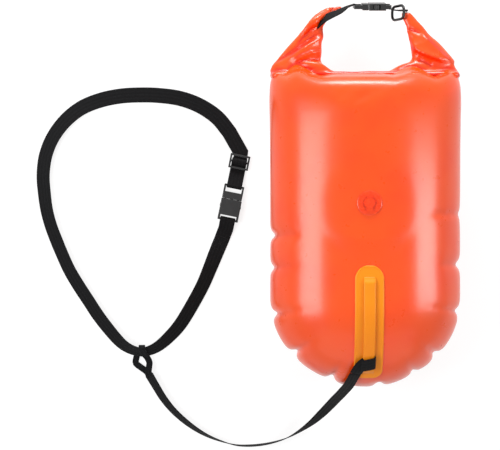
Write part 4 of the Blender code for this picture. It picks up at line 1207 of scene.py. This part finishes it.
def make_roll():
    rings = []
    for station in range(ROLL_STATIONS + 1):
        share = 2 * station / ROLL_STATIONS - 1
        x = ROLL_LENGTH / 2 * share
        wobble = sum(high * math.sin(waves * share + start) for high, waves, start in ROLL_WOBBLES)
        closing = math.sqrt(max(ROLL_END_SHARE, 1 - abs(share) ** ROLL_END_POWER))
        ring = []
        for place in range(ROLL_COLUMNS):
            angle = 2 * math.pi * place / ROLL_COLUMNS
            ridge = max(0.0, math.cos(ROLL_LAYERS * angle + LAYER_TURN)) ** LAYER_POWER
            layer = 1 - LAYER_STEP * ridge
            y = signed_power(math.cos(angle), ROLL_BACK_ROUNDING) * ROLL_HALF_DEPTH
            z = signed_power(math.sin(angle), ROLL_EDGE_ROUNDING) * ROLL_HALF_HEIGHT
            ring.append(Vector((x, ROLL_MIDDLE_Y + wobble + y * layer * closing,
                                SEAM_HEIGHT + z * layer * closing)))
        rings.append(ring)
    return make_tube("rolled_mouth", rings, None)


roll = make_roll()
print("roll:", len(roll.data.polygons), "faces")

# %% [markdown]
# ### One film for the roll and its ends
#
# The forms of the roll, its two ends and their folded flaps are joined, and a fine remesh draws
# one film round them all. Where two forms meet it leaves a soft valley, as between folds of
# film. The pleats are then pressed in along listed lines.

# %% Pleats of the ends
# Marks in X and Y, then height, reach on the left of the line and on its right
FRONT_FOLDS = (
    (((-0.1484, 0.2055), (-0.1365, 0.2131), (-0.1246, 0.2208), (-0.1152, 0.2276), (-0.1050, 0.2352),
      (-0.0923, 0.2446), (-0.0795, 0.2527), (-0.0670, 0.2596)), -0.0060, 0.0036, 0.0030),
    (((-0.1260, 0.2110), (-0.1118, 0.2225), (-0.1016, 0.2305), (-0.0897, 0.2375), (-0.0753, 0.2451),
      (-0.0620, 0.2528)), 0.0046, 0.0018, 0.0080),
    (((-0.1175, 0.2090), (-0.0999, 0.2196), (-0.0880, 0.2247), (-0.0670, 0.2300)),
     0.0044, 0.0018, 0.0070),
    (((-0.1120, 0.2092), (-0.0923, 0.2125), (-0.0680, 0.2131)), -0.0036, 0.0030, 0.0024),
    (((-0.1120, 0.2330), (-0.1000, 0.2480), (-0.0870, 0.2620), (-0.0760, 0.2710)),
     -0.0040, 0.0030, 0.0030),
    (((0.0742, 0.2490), (0.0751, 0.2364), (0.0796, 0.2292), (0.0887, 0.2237), (0.1015, 0.2182),
      (0.1151, 0.2137), (0.1300, 0.2080)), 0.0064, 0.0100, 0.0018),
    (((0.0800, 0.2150), (0.0960, 0.2090), (0.1080, 0.2010)), -0.0045, 0.0040, 0.0040),
    (((0.0670, 0.2642), (0.0742, 0.2610), (0.0796, 0.2592), (0.0890, 0.2550)),
     -0.0046, 0.0022, 0.0030),
    (((0.0880, 0.2560), (0.1060, 0.2370), (0.1240, 0.2200), (0.1400, 0.2060)),
     0.0036, 0.0024, 0.0070),
)
BACK_FOLDS = (
    (((-0.1380, 0.2000), (-0.1150, 0.2230), (-0.0900, 0.2420), (-0.0720, 0.2560)),
     0.0048, 0.0075, 0.0022),
    (((-0.1200, 0.1990), (-0.1010, 0.2140), (-0.0850, 0.2260), (-0.0700, 0.2380)),
     0.0040, 0.0060, 0.0022),
    (((0.0760, 0.2500), (0.0900, 0.2330), (0.1080, 0.2180), (0.1300, 0.2080)),
     0.0048, 0.0080, 0.0022),
    (((0.0700, 0.2300), (0.0830, 0.2180), (0.1040, 0.2060)), 0.0040, 0.0060, 0.0022),
)
FILM_VOXEL = 0.0028
FILM_EVEN_STEPS = 5
FACING_GAIN = 2.2
# Painted shadow along the bag's top edge: its strength and its width
PAINTED_EDGE_SHADOW = 0.9
EDGE_SHADOW_WIDTH = 0.0036


def join_forms(name, forms):
    """One mesh object that holds copies of several objects' meshes."""
    joined = bmesh.new()
    for form in forms:
        joined.from_mesh(form.data)
    mesh = bpy.data.meshes.new(name)
    joined.to_mesh(mesh)
    joined.free()
    for form in forms:
        bpy.data.objects.remove(form, do_unlink=True)
    return link_mesh(name, mesh, None)


def press_folds(made):
    points = mesh_points(made.data)
    normals = mesh_normals(made.data)
    marks = np.array(TOP_EDGE)
    # Painted shadow: the roll and the horns darken where they meet the bag's top edge
    above_edge = points[:, 1] - np.interp(points[:, 0], marks[:, 0], marks[:, 1])
    shade = PAINTED_EDGE_SHADOW * np.exp(-(above_edge / EDGE_SHADOW_WIDTH) ** 2)
    for folds, side in ((FRONT_FOLDS, 1.0), (BACK_FOLDS, -1.0)):
        facing = np.clip(normals[:, 2] * side * FACING_GAIN, 0.0, 1.0)
        raised = np.zeros(len(points))
        for line, height, left_reach, right_reach in folds:
            fold, crease = fold_depth(points[:, :2], line, height, left_reach, right_reach)
            raised += fold
            # Painted shade in the crease of each pleat, on the faces seen from front and back
            shade += crease * facing
        points[:, 2] += raised * facing * side
    set_points(made.data, points)
    set_painted_shade(made.data, shade)


def finer(made, finish):
    """One subdivision, and the film's finish."""
    step = made.modifiers.new("finer", "SUBSURF")
    step.levels = 1
    step.render_levels = 1
    keep_result(made)
    made.data.materials.clear()
    made.data.materials.append(finish)
    made.data.shade_smooth()
    return made


def make_rolled_top():
    forms = [left_horn, right_horn, flap, left_hump, roll]
    made = join_forms("rolled_top", forms)
    even_cells(made, FILM_VOXEL, FILM_EVEN_STEPS)
    press_folds(made)
    return finer(made, orange_finish)


rolled_top = make_rolled_top()
bag = finer(bag_body, orange_finish)
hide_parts("front_panel", "back_panel")
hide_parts("roll_band", "left_horn", "right_horn")
for film in (bag, rolled_top):
    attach(film, "bag")
print("faces:", len(bag.data.polygons), "in the bag,", len(rolled_top.data.polygons), "in its top")

# %% [markdown]
# ### The dry bag inside
#
# A second bag of thin grey film hangs inside the air chamber and keeps things dry. Only its
# place matters, because it is never seen: it is the bag's own form, drawn in a little.

# %% Inner bag
LINER_GAP = 0.016


def make_inner_bag():
    form = smooth_bag()
    made = link_mesh("inner_bag", form, None)
    form.update()
    points = mesh_points(form)
    points -= mesh_normals(form) * LINER_GAP
    points[:, 1] = np.minimum(points[:, 1], BODY_TOP_Y - LINER_GAP)
    set_points(form, points)
    form.shade_smooth()
    return made


inner_bag = make_inner_bag()
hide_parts("dry_liner")
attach(inner_bag, "bag")
print("inner bag:", len(inner_bag.data.polygons), "faces")

# %% [markdown]
# ## The tow patch
#
# A yellow patch is welded on the front. A raised strip runs down its middle, welded at both ends,
# so that the leash's band goes under it. Both follow the bag's curve, so they are sheets laid
# over the same surface with a lift.

# %% Patch and strip
PATCH_LENGTH = 0.190
PATCH_THICKNESS = 0.0010
PATCH_LIFT = 0.0005
WELD_WIDTH = 0.0032
WELD_RISE = 0.0005
STRIP_WIDTH = 0.0178
STRIP_THICKNESS = 0.0012
STRIP_START = 0.0185
STRIP_LENGTH = 0.1590
STRIP_LIFT = 0.0034
STRIP_RAMP = 0.0100
STRIP_CROWN_POWER = 4        # more keeps it flat further out towards its edges
HITCH_START = 0.1435
HITCH_WIDTH = 0.0212
PATCH_COLUMNS = 28
PATCH_ROWS = 130
PATCH_INSET = 0.0006         # where the patch's first row starts
PATCH_CORNER = 0.8           # radius of the foot's corners, as a share of the half width
EDGE_DIP = 0.6               # how far the outer edge sinks, as a share of the thickness
EDGE_CROWDING = 0.85         # under 1 the columns lie closer at both edges
WALK_STEP = PATCH_WIDTH / 100         # between the places that are worked out down the patch


def front_height(x, y):
    """How high the bag's smooth front is, from its foot up to its shoulders."""
    half = BAG_WIDTH / 2
    share = 1.0
    if y < FOOT_CENTRE_Y:
        share = math.sqrt(max(1e-6, 1 - ((FOOT_CENTRE_Y - y) / FOOT_LENGTH) ** 2))
        half *= share
    return SEAM_HEIGHT + GAP / 2 + FRONT_BULGE * share * math.sqrt(max(0.0, 1 - (x / half) ** 2))


def front_point(x, y, lift):
    """A point on the bag's front, lifted along its normal."""
    slope_x = (front_height(x + GAP, y) - front_height(x - GAP, y)) / (2 * GAP)
    slope_y = (front_height(x, y + GAP) - front_height(x, y - GAP)) / (2 * GAP)
    normal = Vector((-slope_x, -slope_y, 1.0)).normalized()
    return Vector((x, y, front_height(x, y))) + normal * lift


def patch_line():
    """Places along the bag, one for each short step down the patch on the surface."""
    places = [PATCH_TOP_Y]
    travelled = 0.0
    while travelled < PATCH_LENGTH:
        here = front_point(0.0, places[-1], 0.0)
        below = front_point(0.0, places[-1] - WALK_STEP, 0.0)
        places.append(places[-1] - WALK_STEP * WALK_STEP / (below - here).length)
        travelled += WALK_STEP
    return places


patch_places = patch_line()


def patch_y(along):
    """Place along the bag at a distance down the patch."""
    spot = min(max(along / WALK_STEP, 0.0), len(patch_places) - 1.001)
    whole = int(spot)
    return patch_places[whole] + (patch_places[whole + 1] - patch_places[whole]) * (spot - whole)


def make_sheet(name, start, end, half_width, lift_at, thickness, rows, columns):
    """A thin closed sheet on the bag, between two places along the patch."""
    rings = []
    for row in range(rows + 1):
        along = start + (end - start) * row / rows
        half = half_width(along)
        upper = []
        lower = []
        for column in range(columns + 1):
            share = signed_power(2 * column / columns - 1, EDGE_CROWDING)
            above = thickness + lift_at(along, share)
            below = max(0.0, lift_at(along, 0.0) - WELD_RISE) - PATCH_LIFT
            upper.append(front_point(half * share, patch_y(along), above))
            lower.append(front_point(half * share, patch_y(along), below))
        rings.append(upper + lower[::-1])
    return make_tube(name, rings, yellow_finish)


def patch_half(along):
    """Half width of the patch: a round top and a squarer foot."""
    radius = PATCH_WIDTH / 2
    if along < radius:
        return math.sqrt(max(radius ** 2 - (radius - along) ** 2, 1e-8))
    corner = radius * PATCH_CORNER
    left = PATCH_LENGTH - along
    if left < corner:
        inward = math.sqrt(max(corner ** 2 - (corner - left) ** 2, 1e-8))
        return radius - corner + inward
    return radius


def patch_lift(along, share):
    """A raised weld runs round the edge, and a shallow channel inside it."""
    from_edge = min(patch_half(along) * (1 - abs(share)), along, PATCH_LENGTH - along)
    weld = math.exp(-((from_edge - WELD_WIDTH / 2) / (WELD_WIDTH / 2)) ** 2)
    edge = min(1.0, from_edge / (WELD_WIDTH / 4))
    return PATCH_LIFT + WELD_RISE * weld - PATCH_THICKNESS * EDGE_DIP * (1 - edge)


def strip_lift(along, share):
    """The strip is down at both ends and stands clear between them, with rounded edges."""
    inward = min(along - STRIP_START, STRIP_START + STRIP_LENGTH - along)
    ramp = (1 - math.cos(math.pi * min(1.0, max(0.0, inward / STRIP_RAMP)))) / 2
    crown = 1 - abs(share) ** STRIP_CROWN_POWER
    return PATCH_LIFT + PATCH_THICKNESS + STRIP_LIFT * ramp + WELD_RISE * (crown - 1)


def strip_half(along):
    """The strip has one width all the way down."""
    return STRIP_WIDTH / 2


patch = make_sheet("tow_patch", PATCH_INSET, PATCH_LENGTH - PATCH_INSET, patch_half, patch_lift,
                   PATCH_THICKNESS, PATCH_ROWS, PATCH_COLUMNS)
strip = make_sheet("tow_strip", STRIP_START, STRIP_START + STRIP_LENGTH, strip_half, strip_lift,
                   STRIP_THICKNESS, PATCH_ROWS, PATCH_COLUMNS // 2)
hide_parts("patch_base")
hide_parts("patch_strip")
for piece in (patch, strip):
    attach(piece, "bag")
print("patch:", len(patch.data.polygons), "faces, strip:", len(strip.data.polygons), "faces")

# %% [markdown]
# ## The leash's band round the strip
#
# The leash is looped round the strip before it leaves. The loop is a short band of the same
# webbing, wound once round the strip and lying slanted on it.

# %% Hitch
HITCH_TURNS = 40
HITCH_STEP = 0.0014          # along the webbing from one ring to the next
HITCH_ROUNDING = 0.55        # 1 is an oval; less is squarer
HITCH_SLANT = 0.0025
HITCH_SPREAD = 0.48


def make_hitch():
    """Rings of the band's section along the bag, one for each step round the strip."""
    half_across = STRIP_WIDTH / 2 + GAP
    low = PATCH_LIFT + PATCH_THICKNESS + GAP
    high = low + LEASH_THICKNESS + STRIP_LIFT + STRIP_THICKNESS + 2 * GAP
    middle = (low + high) / 2 + LEASH_THICKNESS / 2
    rings = []
    for turn in range(HITCH_TURNS):
        angle = 2 * math.pi * turn / HITCH_TURNS
        across = signed_power(math.cos(angle), HITCH_ROUNDING)
        rise = signed_power(math.sin(angle), HITCH_ROUNDING)
        ring = []
        for wide, thick in BAND_SHARES:
            along = HITCH_START + HITCH_WIDTH * (0.5 + HITCH_SPREAD * wide) - HITCH_SLANT * across
            x = across * (half_across + LEASH_THICKNESS * (0.5 + 0.5 * thick))
            lift = middle + rise * ((high - low) / 2 + LEASH_THICKNESS * 0.5 * (1 + thick))
            ring.append(front_point(x, patch_y(along), lift))
        rings.append(ring)
    faces = wall_faces(len(rings), len(BAND_SHARES), closed=True)
    distances = [row * HITCH_STEP for row in range(len(rings))]
    return webbing_form("leash_hitch_band", rings, distances, HITCH_WIDTH, faces, webbing_finish)


hitch = make_hitch()
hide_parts("leash_hitch")
print("hitch:", len(hitch.data.polygons), "faces")

# %% Run from the hitch to the leash
# It starts under the wrap and ends where the leash starts
HITCH_RUN_ROUTE = (
    (-0.0040, -0.2620, 0.1665, 14),
    (-0.0105, -0.2672, 0.1622, 18),
    (-0.0156, -0.2735, 0.1565, 23),
    (-0.0194, -0.2802, 0.1506, 27),
)


def make_hitch_run():
    stations = route_stations(HITCH_RUN_ROUTE, ROUTE_STEP / 2)
    return make_band("leash_hitch_run", stations, LEASH_WIDTH, LEASH_THICKNESS, webbing_finish)


hitch_run = make_hitch_run()
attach(hitch_run, "bag")
print("run from the hitch:", len(hitch_run.data.polygons), "faces")

# %% [markdown]
# ## The handle's webbing
#
# Two short bands join the buckle to the horns.

# %% Handle bands
HANDLE_WEB_WIDTH = 0.019
HANDLE_WEB_THICKNESS = 0.0015
STRAP_TURN = (60, 175)       # round the clip's bar, in degrees as above
TAB_TURN = (-5, -110)        # round the socket's bar
HANDLE_STRAP_ROUTE = (
    (-0.0790, 0.2680, 0.0830, 50),
    (-0.0720, 0.2740, 0.0885, 50),
    (-0.0640, 0.2797, 0.0915, 50),
    (-0.0520, 0.2858, 0.0900, 54),
    (-0.0400, 0.2916, 0.0870, 60),
    (-0.0290, 0.2984, 0.0855, 73),
)
HANDLE_TAB_ROUTE = (
    (0.0460, 0.2936, 0.0850, -102),
    (0.0540, 0.2930, 0.0850, -95),
    (0.0620, 0.2930, 0.0850, -92),
    (0.0680, 0.2924, 0.0850, -90),
)


def bar_turn(bar_y, start, end, beside):
    """The band's turn round a bar of the handle's buckle, facing as the station beside it does."""
    toward = handle_across * math.copysign(1.0, beside[1].dot(handle_across))
    return in_buckle(handle, arc_points(bar_y, BAR_ARC, start, end, ARC_STEPS), toward)


def make_handle_band(name, stations):
    return make_band(name, stations, HANDLE_WEB_WIDTH, HANDLE_WEB_THICKNESS, webbing_finish)


strap_line = route_stations(HANDLE_STRAP_ROUTE, ROUTE_STEP / 2)
tab_line = route_stations(HANDLE_TAB_ROUTE, ROUTE_STEP / 2)
clip_turn = bar_turn(CLIP_BAR_Y, *STRAP_TURN, strap_line[-1])
socket_turn = bar_turn(SOCKET_BAR_Y, *TAB_TURN, tab_line[0])
handle_left = make_handle_band("handle_band_left", strap_line + clip_turn)
handle_right = make_handle_band("handle_band_right", socket_turn + tab_line)
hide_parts("handle_strap")
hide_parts("handle_tab")
print("handle bands made")

# %% [markdown]
# ## Stitches
#
# The webbing is sewn where it turns back on itself: a box of stitches beside each buckle and
# rows across the leash at its eye. Each place is a point with a turn, and a Geometry Nodes tree
# puts a small rounded stitch on every point.

# %% Tree that sews a stitch on each mark
STITCH_LENGTH = 0.0021
STITCH_WIDTH = 0.0007
STITCH_HEIGHT = 0.0006
STITCH_PITCH = 0.0027
THREAD_RELIEF = 0.00004
STITCH_SEGMENTS = 8
STITCH_RINGS = 5
STITCH_SEED = 5
STITCH_SMALLEST = (0.92, 0.92, 0.92)
STITCH_LARGEST = (1.05, 1.05, 1.05)


class Repeat(Finish):
    """A Geometry Nodes tree that repeats a small shape, with named inputs for its sizes."""

    def __init__(self, name):
        self.tree = bpy.data.node_groups.new(name, "GeometryNodeTree")
        self.names = {}

    def named_input(self, name, kind):
        socket = self.tree.interface.new_socket(name, in_out="INPUT", socket_type=kind)
        self.names[name] = socket.identifier

    def given(self, name):
        return self.add("NodeGroupInput", output=name)


def stitch_tree():
    tree = Repeat("sewn_stitches")
    tree.named_input("Marks", "NodeSocketGeometry")
    for name in ("Stitch Length", "Stitch Width", "Stitch Height"):
        tree.named_input(name, "NodeSocketFloat")
    tree.named_input("Thread", "NodeSocketMaterial")
    tree.tree.interface.new_socket("Stitches", in_out="OUTPUT", socket_type="NodeSocketGeometry")
    ball = tree.add("GeometryNodeMeshUVSphere", (), {"Segments": STITCH_SEGMENTS,
                                                     "Rings": STITCH_RINGS, "Radius": 0.5})
    size = tree.add("ShaderNodeCombineXYZ", (), {0: tree.given("Stitch Length"),
                                                 1: tree.given("Stitch Width"),
                                                 2: tree.given("Stitch Height")})
    stitch = tree.add("GeometryNodeTransform", (), {"Geometry": ball, "Scale": size})
    turn = tree.add("GeometryNodeInputNamedAttribute", {"data_type": "FLOAT_VECTOR"},
                    {"Name": "turn"})
    uneven = tree.add("FunctionNodeRandomValue", {"data_type": "FLOAT_VECTOR"},
                      {0: STITCH_SMALLEST, 1: STITCH_LARGEST, "Seed": STITCH_SEED})
    placed = tree.add("GeometryNodeInstanceOnPoints", (), {"Points": tree.given("Marks"),
                                                          "Instance": stitch, "Rotation": turn,
                                                          "Scale": uneven})
    real = tree.add("GeometryNodeRealizeInstances", (), {"Geometry": placed})
    done = tree.add("GeometryNodeSetMaterial", (), {"Geometry": real,
                                                    "Material": tree.given("Thread")})
    tree.add("NodeGroupOutput", (), {"Stitches": done})
    return tree


sewing = stitch_tree()
print("inputs of the tree:", ", ".join(sewing.names))

# %% Where the stitches go
# Each row goes from one place to another: the way along the band and the share of its half width
BOX_EDGE = 0.80
BELT_BOX = (0.036, 0.058)    # start and end of the box along the band
STRAP_BOX = (0.002, 0.014)
TAB_BOX = (0.002, 0.012)
LEASH_ROWS = (0.004, 0.007, 0.010)    # back from the leash's end


def box_rows(start, end):
    """A box of stitches with a cross in it."""
    return [(start, -BOX_EDGE, end, -BOX_EDGE), (start, BOX_EDGE, end, BOX_EDGE),
            (start, -BOX_EDGE, start, BOX_EDGE), (end, -BOX_EDGE, end, BOX_EDGE),
            (start, -BOX_EDGE, end, BOX_EDGE), (start, BOX_EDGE, end, -BOX_EDGE)]


def band_frame(stations, distance):
    """Middle, way ahead and way across of a band at a distance from its start."""
    travelled = 0.0
    for (before, side), (after, side_after) in zip(stations, stations[1:]):
        step = (after - before).length
        if travelled + step >= distance:
            break
        travelled += step
    share = (distance - travelled) / step
    ahead = (after - before).normalized()
    across = side.lerp(side_after, share)
    across = (across - ahead * across.dot(ahead)).normalized()
    return before.lerp(after, share), ahead, across


def stitch_marks(stations, width, thickness, rows):
    """Place and turn of each stitch, on both faces of a band."""
    marks = []
    for start, first_share, end, last_share in rows:
        length = math.hypot(end - start, (last_share - first_share) * width / 2)
        count = max(1, round(length / STITCH_PITCH))
        for index in range(count):
            part = (index + 0.5) / count
            middle, ahead, across = band_frame(stations, start + (end - start) * part)
            share = first_share + (last_share - first_share) * part
            way = ahead * (end - start) + across * ((last_share - first_share) * width / 2)
            way.normalize()
            face = across.cross(ahead).normalized()
            for outward in (face, -face):
                place = middle + across * (share * width / 2) + outward * (thickness / 2)
                turn = Matrix((way, outward.cross(way), outward)).transposed().to_euler()
                marks.append((place, turn))
    return marks


def sew(name, marks, material):
    """One plain mesh object with a stitch on each mark."""
    mesh = bpy.data.meshes.new(name)
    mesh.from_pydata([place for place, turn in marks], [], [])
    layer = mesh.attributes.new("turn", "FLOAT_VECTOR", "POINT")
    layer.data.foreach_set("vector", [number for place, turn in marks for number in turn])
    made = link_mesh(name, mesh, None)
    step = made.modifiers.new("sewing", "NODES")
    step.node_group = sewing.tree
    for label, value in (("Stitch Length", STITCH_LENGTH), ("Stitch Width", STITCH_WIDTH),
                         ("Stitch Height", STITCH_HEIGHT), ("Thread", material)):
        step[sewing.names[label]] = value
    keep_result(made)
    made.data.shade_smooth()
    return made


def make_thread_finish():
    finish = Finish("black_sewing_thread")
    twist = finish.wave(finish.noise(finish.place(), 900.0, 2.0) * 6.0)
    # Painted highlight: the raised strands of the twist are paler, in the pattern of their relief
    finish.plain(
        Base_Color=finish.mix(twist, WEBBING_COLOUR, YARN_PAINTED_SHEEN_COLOUR),
        Roughness=0.62 + 0.10 * twist,
        Normal=finish.bump(twist, THREAD_RELIEF),
        Specular_IOR_Level=0.3,
    )
    return finish.material


leash_end = route_length(leash_line)
marks = stitch_marks(belt_line, BELT_WIDTH, BELT_THICKNESS, box_rows(*BELT_BOX))
marks += stitch_marks(leash_line, LEASH_WIDTH, LEASH_THICKNESS,
                      [(leash_end - back, -BOX_EDGE, leash_end - back, BOX_EDGE)
                       for back in LEASH_ROWS])
for line, box in ((strap_line, STRAP_BOX), (tab_line, TAB_BOX)):
    marks += stitch_marks(line, HANDLE_WEB_WIDTH, HANDLE_WEB_THICKNESS, box_rows(*box))
stitches = sew("webbing_stitches", marks, make_thread_finish())
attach(stitches, "bag")
print("stitches:", len(marks), "with", len(stitches.data.polygons), "faces")

# %% [markdown]
# ## Moulded plastic
#
# The buckles, the slider and the ring are moulded black acetal with a fine spark-eroded grain.
# The valve is softer orange plastic, glossy and a little paler in soft random patches.
# The inner bag's thin grey film takes the same kind of finish.

# %% Plastic finishes
BUCKLE_DARK = colour(0.0042, 0.0042, 0.0046)
BUCKLE_LIGHT = colour(0.0075, 0.0075, 0.0082)
VALVE_DARK = colour(0.93, 0.050, 0.003)
VALVE_LIGHT = colour(0.96, 0.085, 0.008)
LINER_DARK = colour(0.52, 0.53, 0.55)
LINER_LIGHT = colour(0.58, 0.59, 0.61)
WAIST_PIECES = ("belt_slider", "waist_clip", "waist_prong_right", "waist_prong_left",
                "waist_socket")
BUCKLE_PIECES = WAIST_PIECES + ("handle_ring", "handle_socket", "handle_clip",
                                "handle_prong_front", "handle_prong_back", "mouth_stiffener")
VALVE_PIECES = ("valve_flange", "valve_stem", "valve_plug", "valve_flap")


def make_plastic_finish(name, dark, light, base_roughness, grain_scale, relief):
    finish = Finish(name)
    where = finish.place()
    grain = finish.noise(where, grain_scale, 3.0)
    cloud = finish.noise(where, 60.0, 3.0, 0.6)
    finish.plain(
        Base_Color=finish.mix(finish.ramp(cloud, 0.4, 0.8), dark, light),
        Roughness=base_roughness + 0.12 * cloud,
        Normal=finish.bump(grain, relief),
    )
    return finish.material


buckle_finish = make_plastic_finish("black_buckle_grain", BUCKLE_DARK, BUCKLE_LIGHT,
                                    base_roughness=0.27, grain_scale=1800.0, relief=0.00003)
valve_finish = make_plastic_finish("orange_valve_gloss", VALVE_DARK, VALVE_LIGHT,
                                   base_roughness=0.22, grain_scale=900.0, relief=0.00002)
liner_finish = make_plastic_finish("grey_liner_film_soft", LINER_DARK, LINER_LIGHT,
                                   base_roughness=0.42, grain_scale=700.0, relief=0.00003)
for pieces, finish in ((BUCKLE_PIECES, buckle_finish), (VALVE_PIECES, valve_finish)):
    for piece in pieces:
        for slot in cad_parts[piece].material_slots:
            slot.material = finish
inner_bag.data.materials.append(liner_finish)
print("plastic finishes on the packed pieces")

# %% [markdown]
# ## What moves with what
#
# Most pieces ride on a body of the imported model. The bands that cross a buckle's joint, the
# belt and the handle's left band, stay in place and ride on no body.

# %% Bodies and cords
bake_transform(belt)
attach(belt_tail, "waist_clip_body")
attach(belt_crest, "slider_body")
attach(leash_join, "bag")
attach(leash, "bag")
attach(eye, "bag")
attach(hitch, "bag")
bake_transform(handle_left)
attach(handle_right, "bag")


route_length(leash_line)
route_length(belt_line)

# %% [markdown]
# ## Floor and light
#
# A pale floor and soft studio light. Two boxes of light stand left and right of the bag and draw
# the upright soft highlights along its sides. A third stands beyond its top and draws the line of
# light on its shoulders, and a large weak one beyond its foot lifts the lobes there. The floor
# and the room are white to the camera and to reflections, and the floor keeps the object's shadow.

# %% Floor
WHITE_TO = ("Is Camera Ray", "Is Glossy Ray", "Is Transmission Ray")
FLOOR_SIZE = 6.0
FLOOR_TONE = colour(0.26, 0.26, 0.26)
FLOOR_GLOW = 0.83            # added only where the camera, a gloss or glass sees the floor


def at_least_seen(finish, light):
    """The light itself, and 1 where the camera, a gloss or glass looks at the surface."""
    for ray in WHITE_TO:
        light = finish.sum_of("MAXIMUM", finish.add("ShaderNodeLightPath", output=ray), light)
    return light


def make_floor():
    mesh = bpy.data.meshes.new("floor")
    half = FLOOR_SIZE / 2
    corners = [(-half, -half, 0.0), (half, -half, 0.0), (half, half, 0.0), (-half, half, 0.0)]
    mesh.from_pydata(corners, [], [(0, 1, 2, 3)])
    finish = Finish("pale_floor")
    seen = at_least_seen(finish, 0.0)
    finish.plain(
        Base_Color=FLOOR_TONE,
        Roughness=0.9,
        Specular_IOR_Level=0.0,
        Emission_Color=finish.mix(seen, colour(0.0, 0.0, 0.0), colour(1.0, 1.0, 1.0)),
        Emission_Strength=FLOOR_GLOW,
    )
    made = bpy.data.objects.new("floor", mesh)
    bpy.context.scene.collection.objects.link(made)
    mesh.materials.append(finish.material)


make_floor()
print("floor:", FLOOR_SIZE, "m wide")

# %% Light
# Name, place, size across and along, power
LIGHT_BOXES = (
    ("left_box", (-1.35, -0.12, 1.35), (1.00, 1.0), 23.0),
    ("right_box", (1.45, -0.12, 1.15), (0.50, 0.9), 14.5),
    ("top_box", (0.0, 2.05, 0.60), (1.3, 0.60), 52.0),
    ("foot_box", (0.0, -1.90, 1.30), (3.2, 1.8), 11.0),
)
LIGHT_TARGET = (0.0, -0.05, 0.1)
OVERHEAD_STRENGTH = 0.05
HORIZON_STRENGTH = 0.16


def aim(made, target):
    made.rotation_euler = (Vector(target) - made.location).to_track_quat("-Z", "Y").to_euler()


def make_lights():
    for name, place, size, power in LIGHT_BOXES:
        lamp = bpy.data.lights.new(name, "AREA")
        lamp.shape = "RECTANGLE"
        lamp.size, lamp.size_y = size
        lamp.energy = power
        made = bpy.data.objects.new(name, lamp)
        made.location = place
        bpy.context.scene.collection.objects.link(made)
        aim(made, LIGHT_TARGET)


def make_world():
    world = bpy.data.worlds.new("white_room")
    bpy.context.scene.world = world
    room = Finish(world=world)
    height = room.part(room.add("ShaderNodeTexCoord", output="Generated"), "Z")
    light = room.add("ShaderNodeMapRange", (), {"Value": height, "To Min": HORIZON_STRENGTH,
                                                "To Max": OVERHEAD_STRENGTH})
    room.plain(Color=colour(1.0, 1.0, 1.0), Strength=at_least_seen(room, light))


make_lights()
make_world()
bpy.context.scene.view_settings.view_transform = "Standard"
print("light boxes:", len(LIGHT_BOXES))
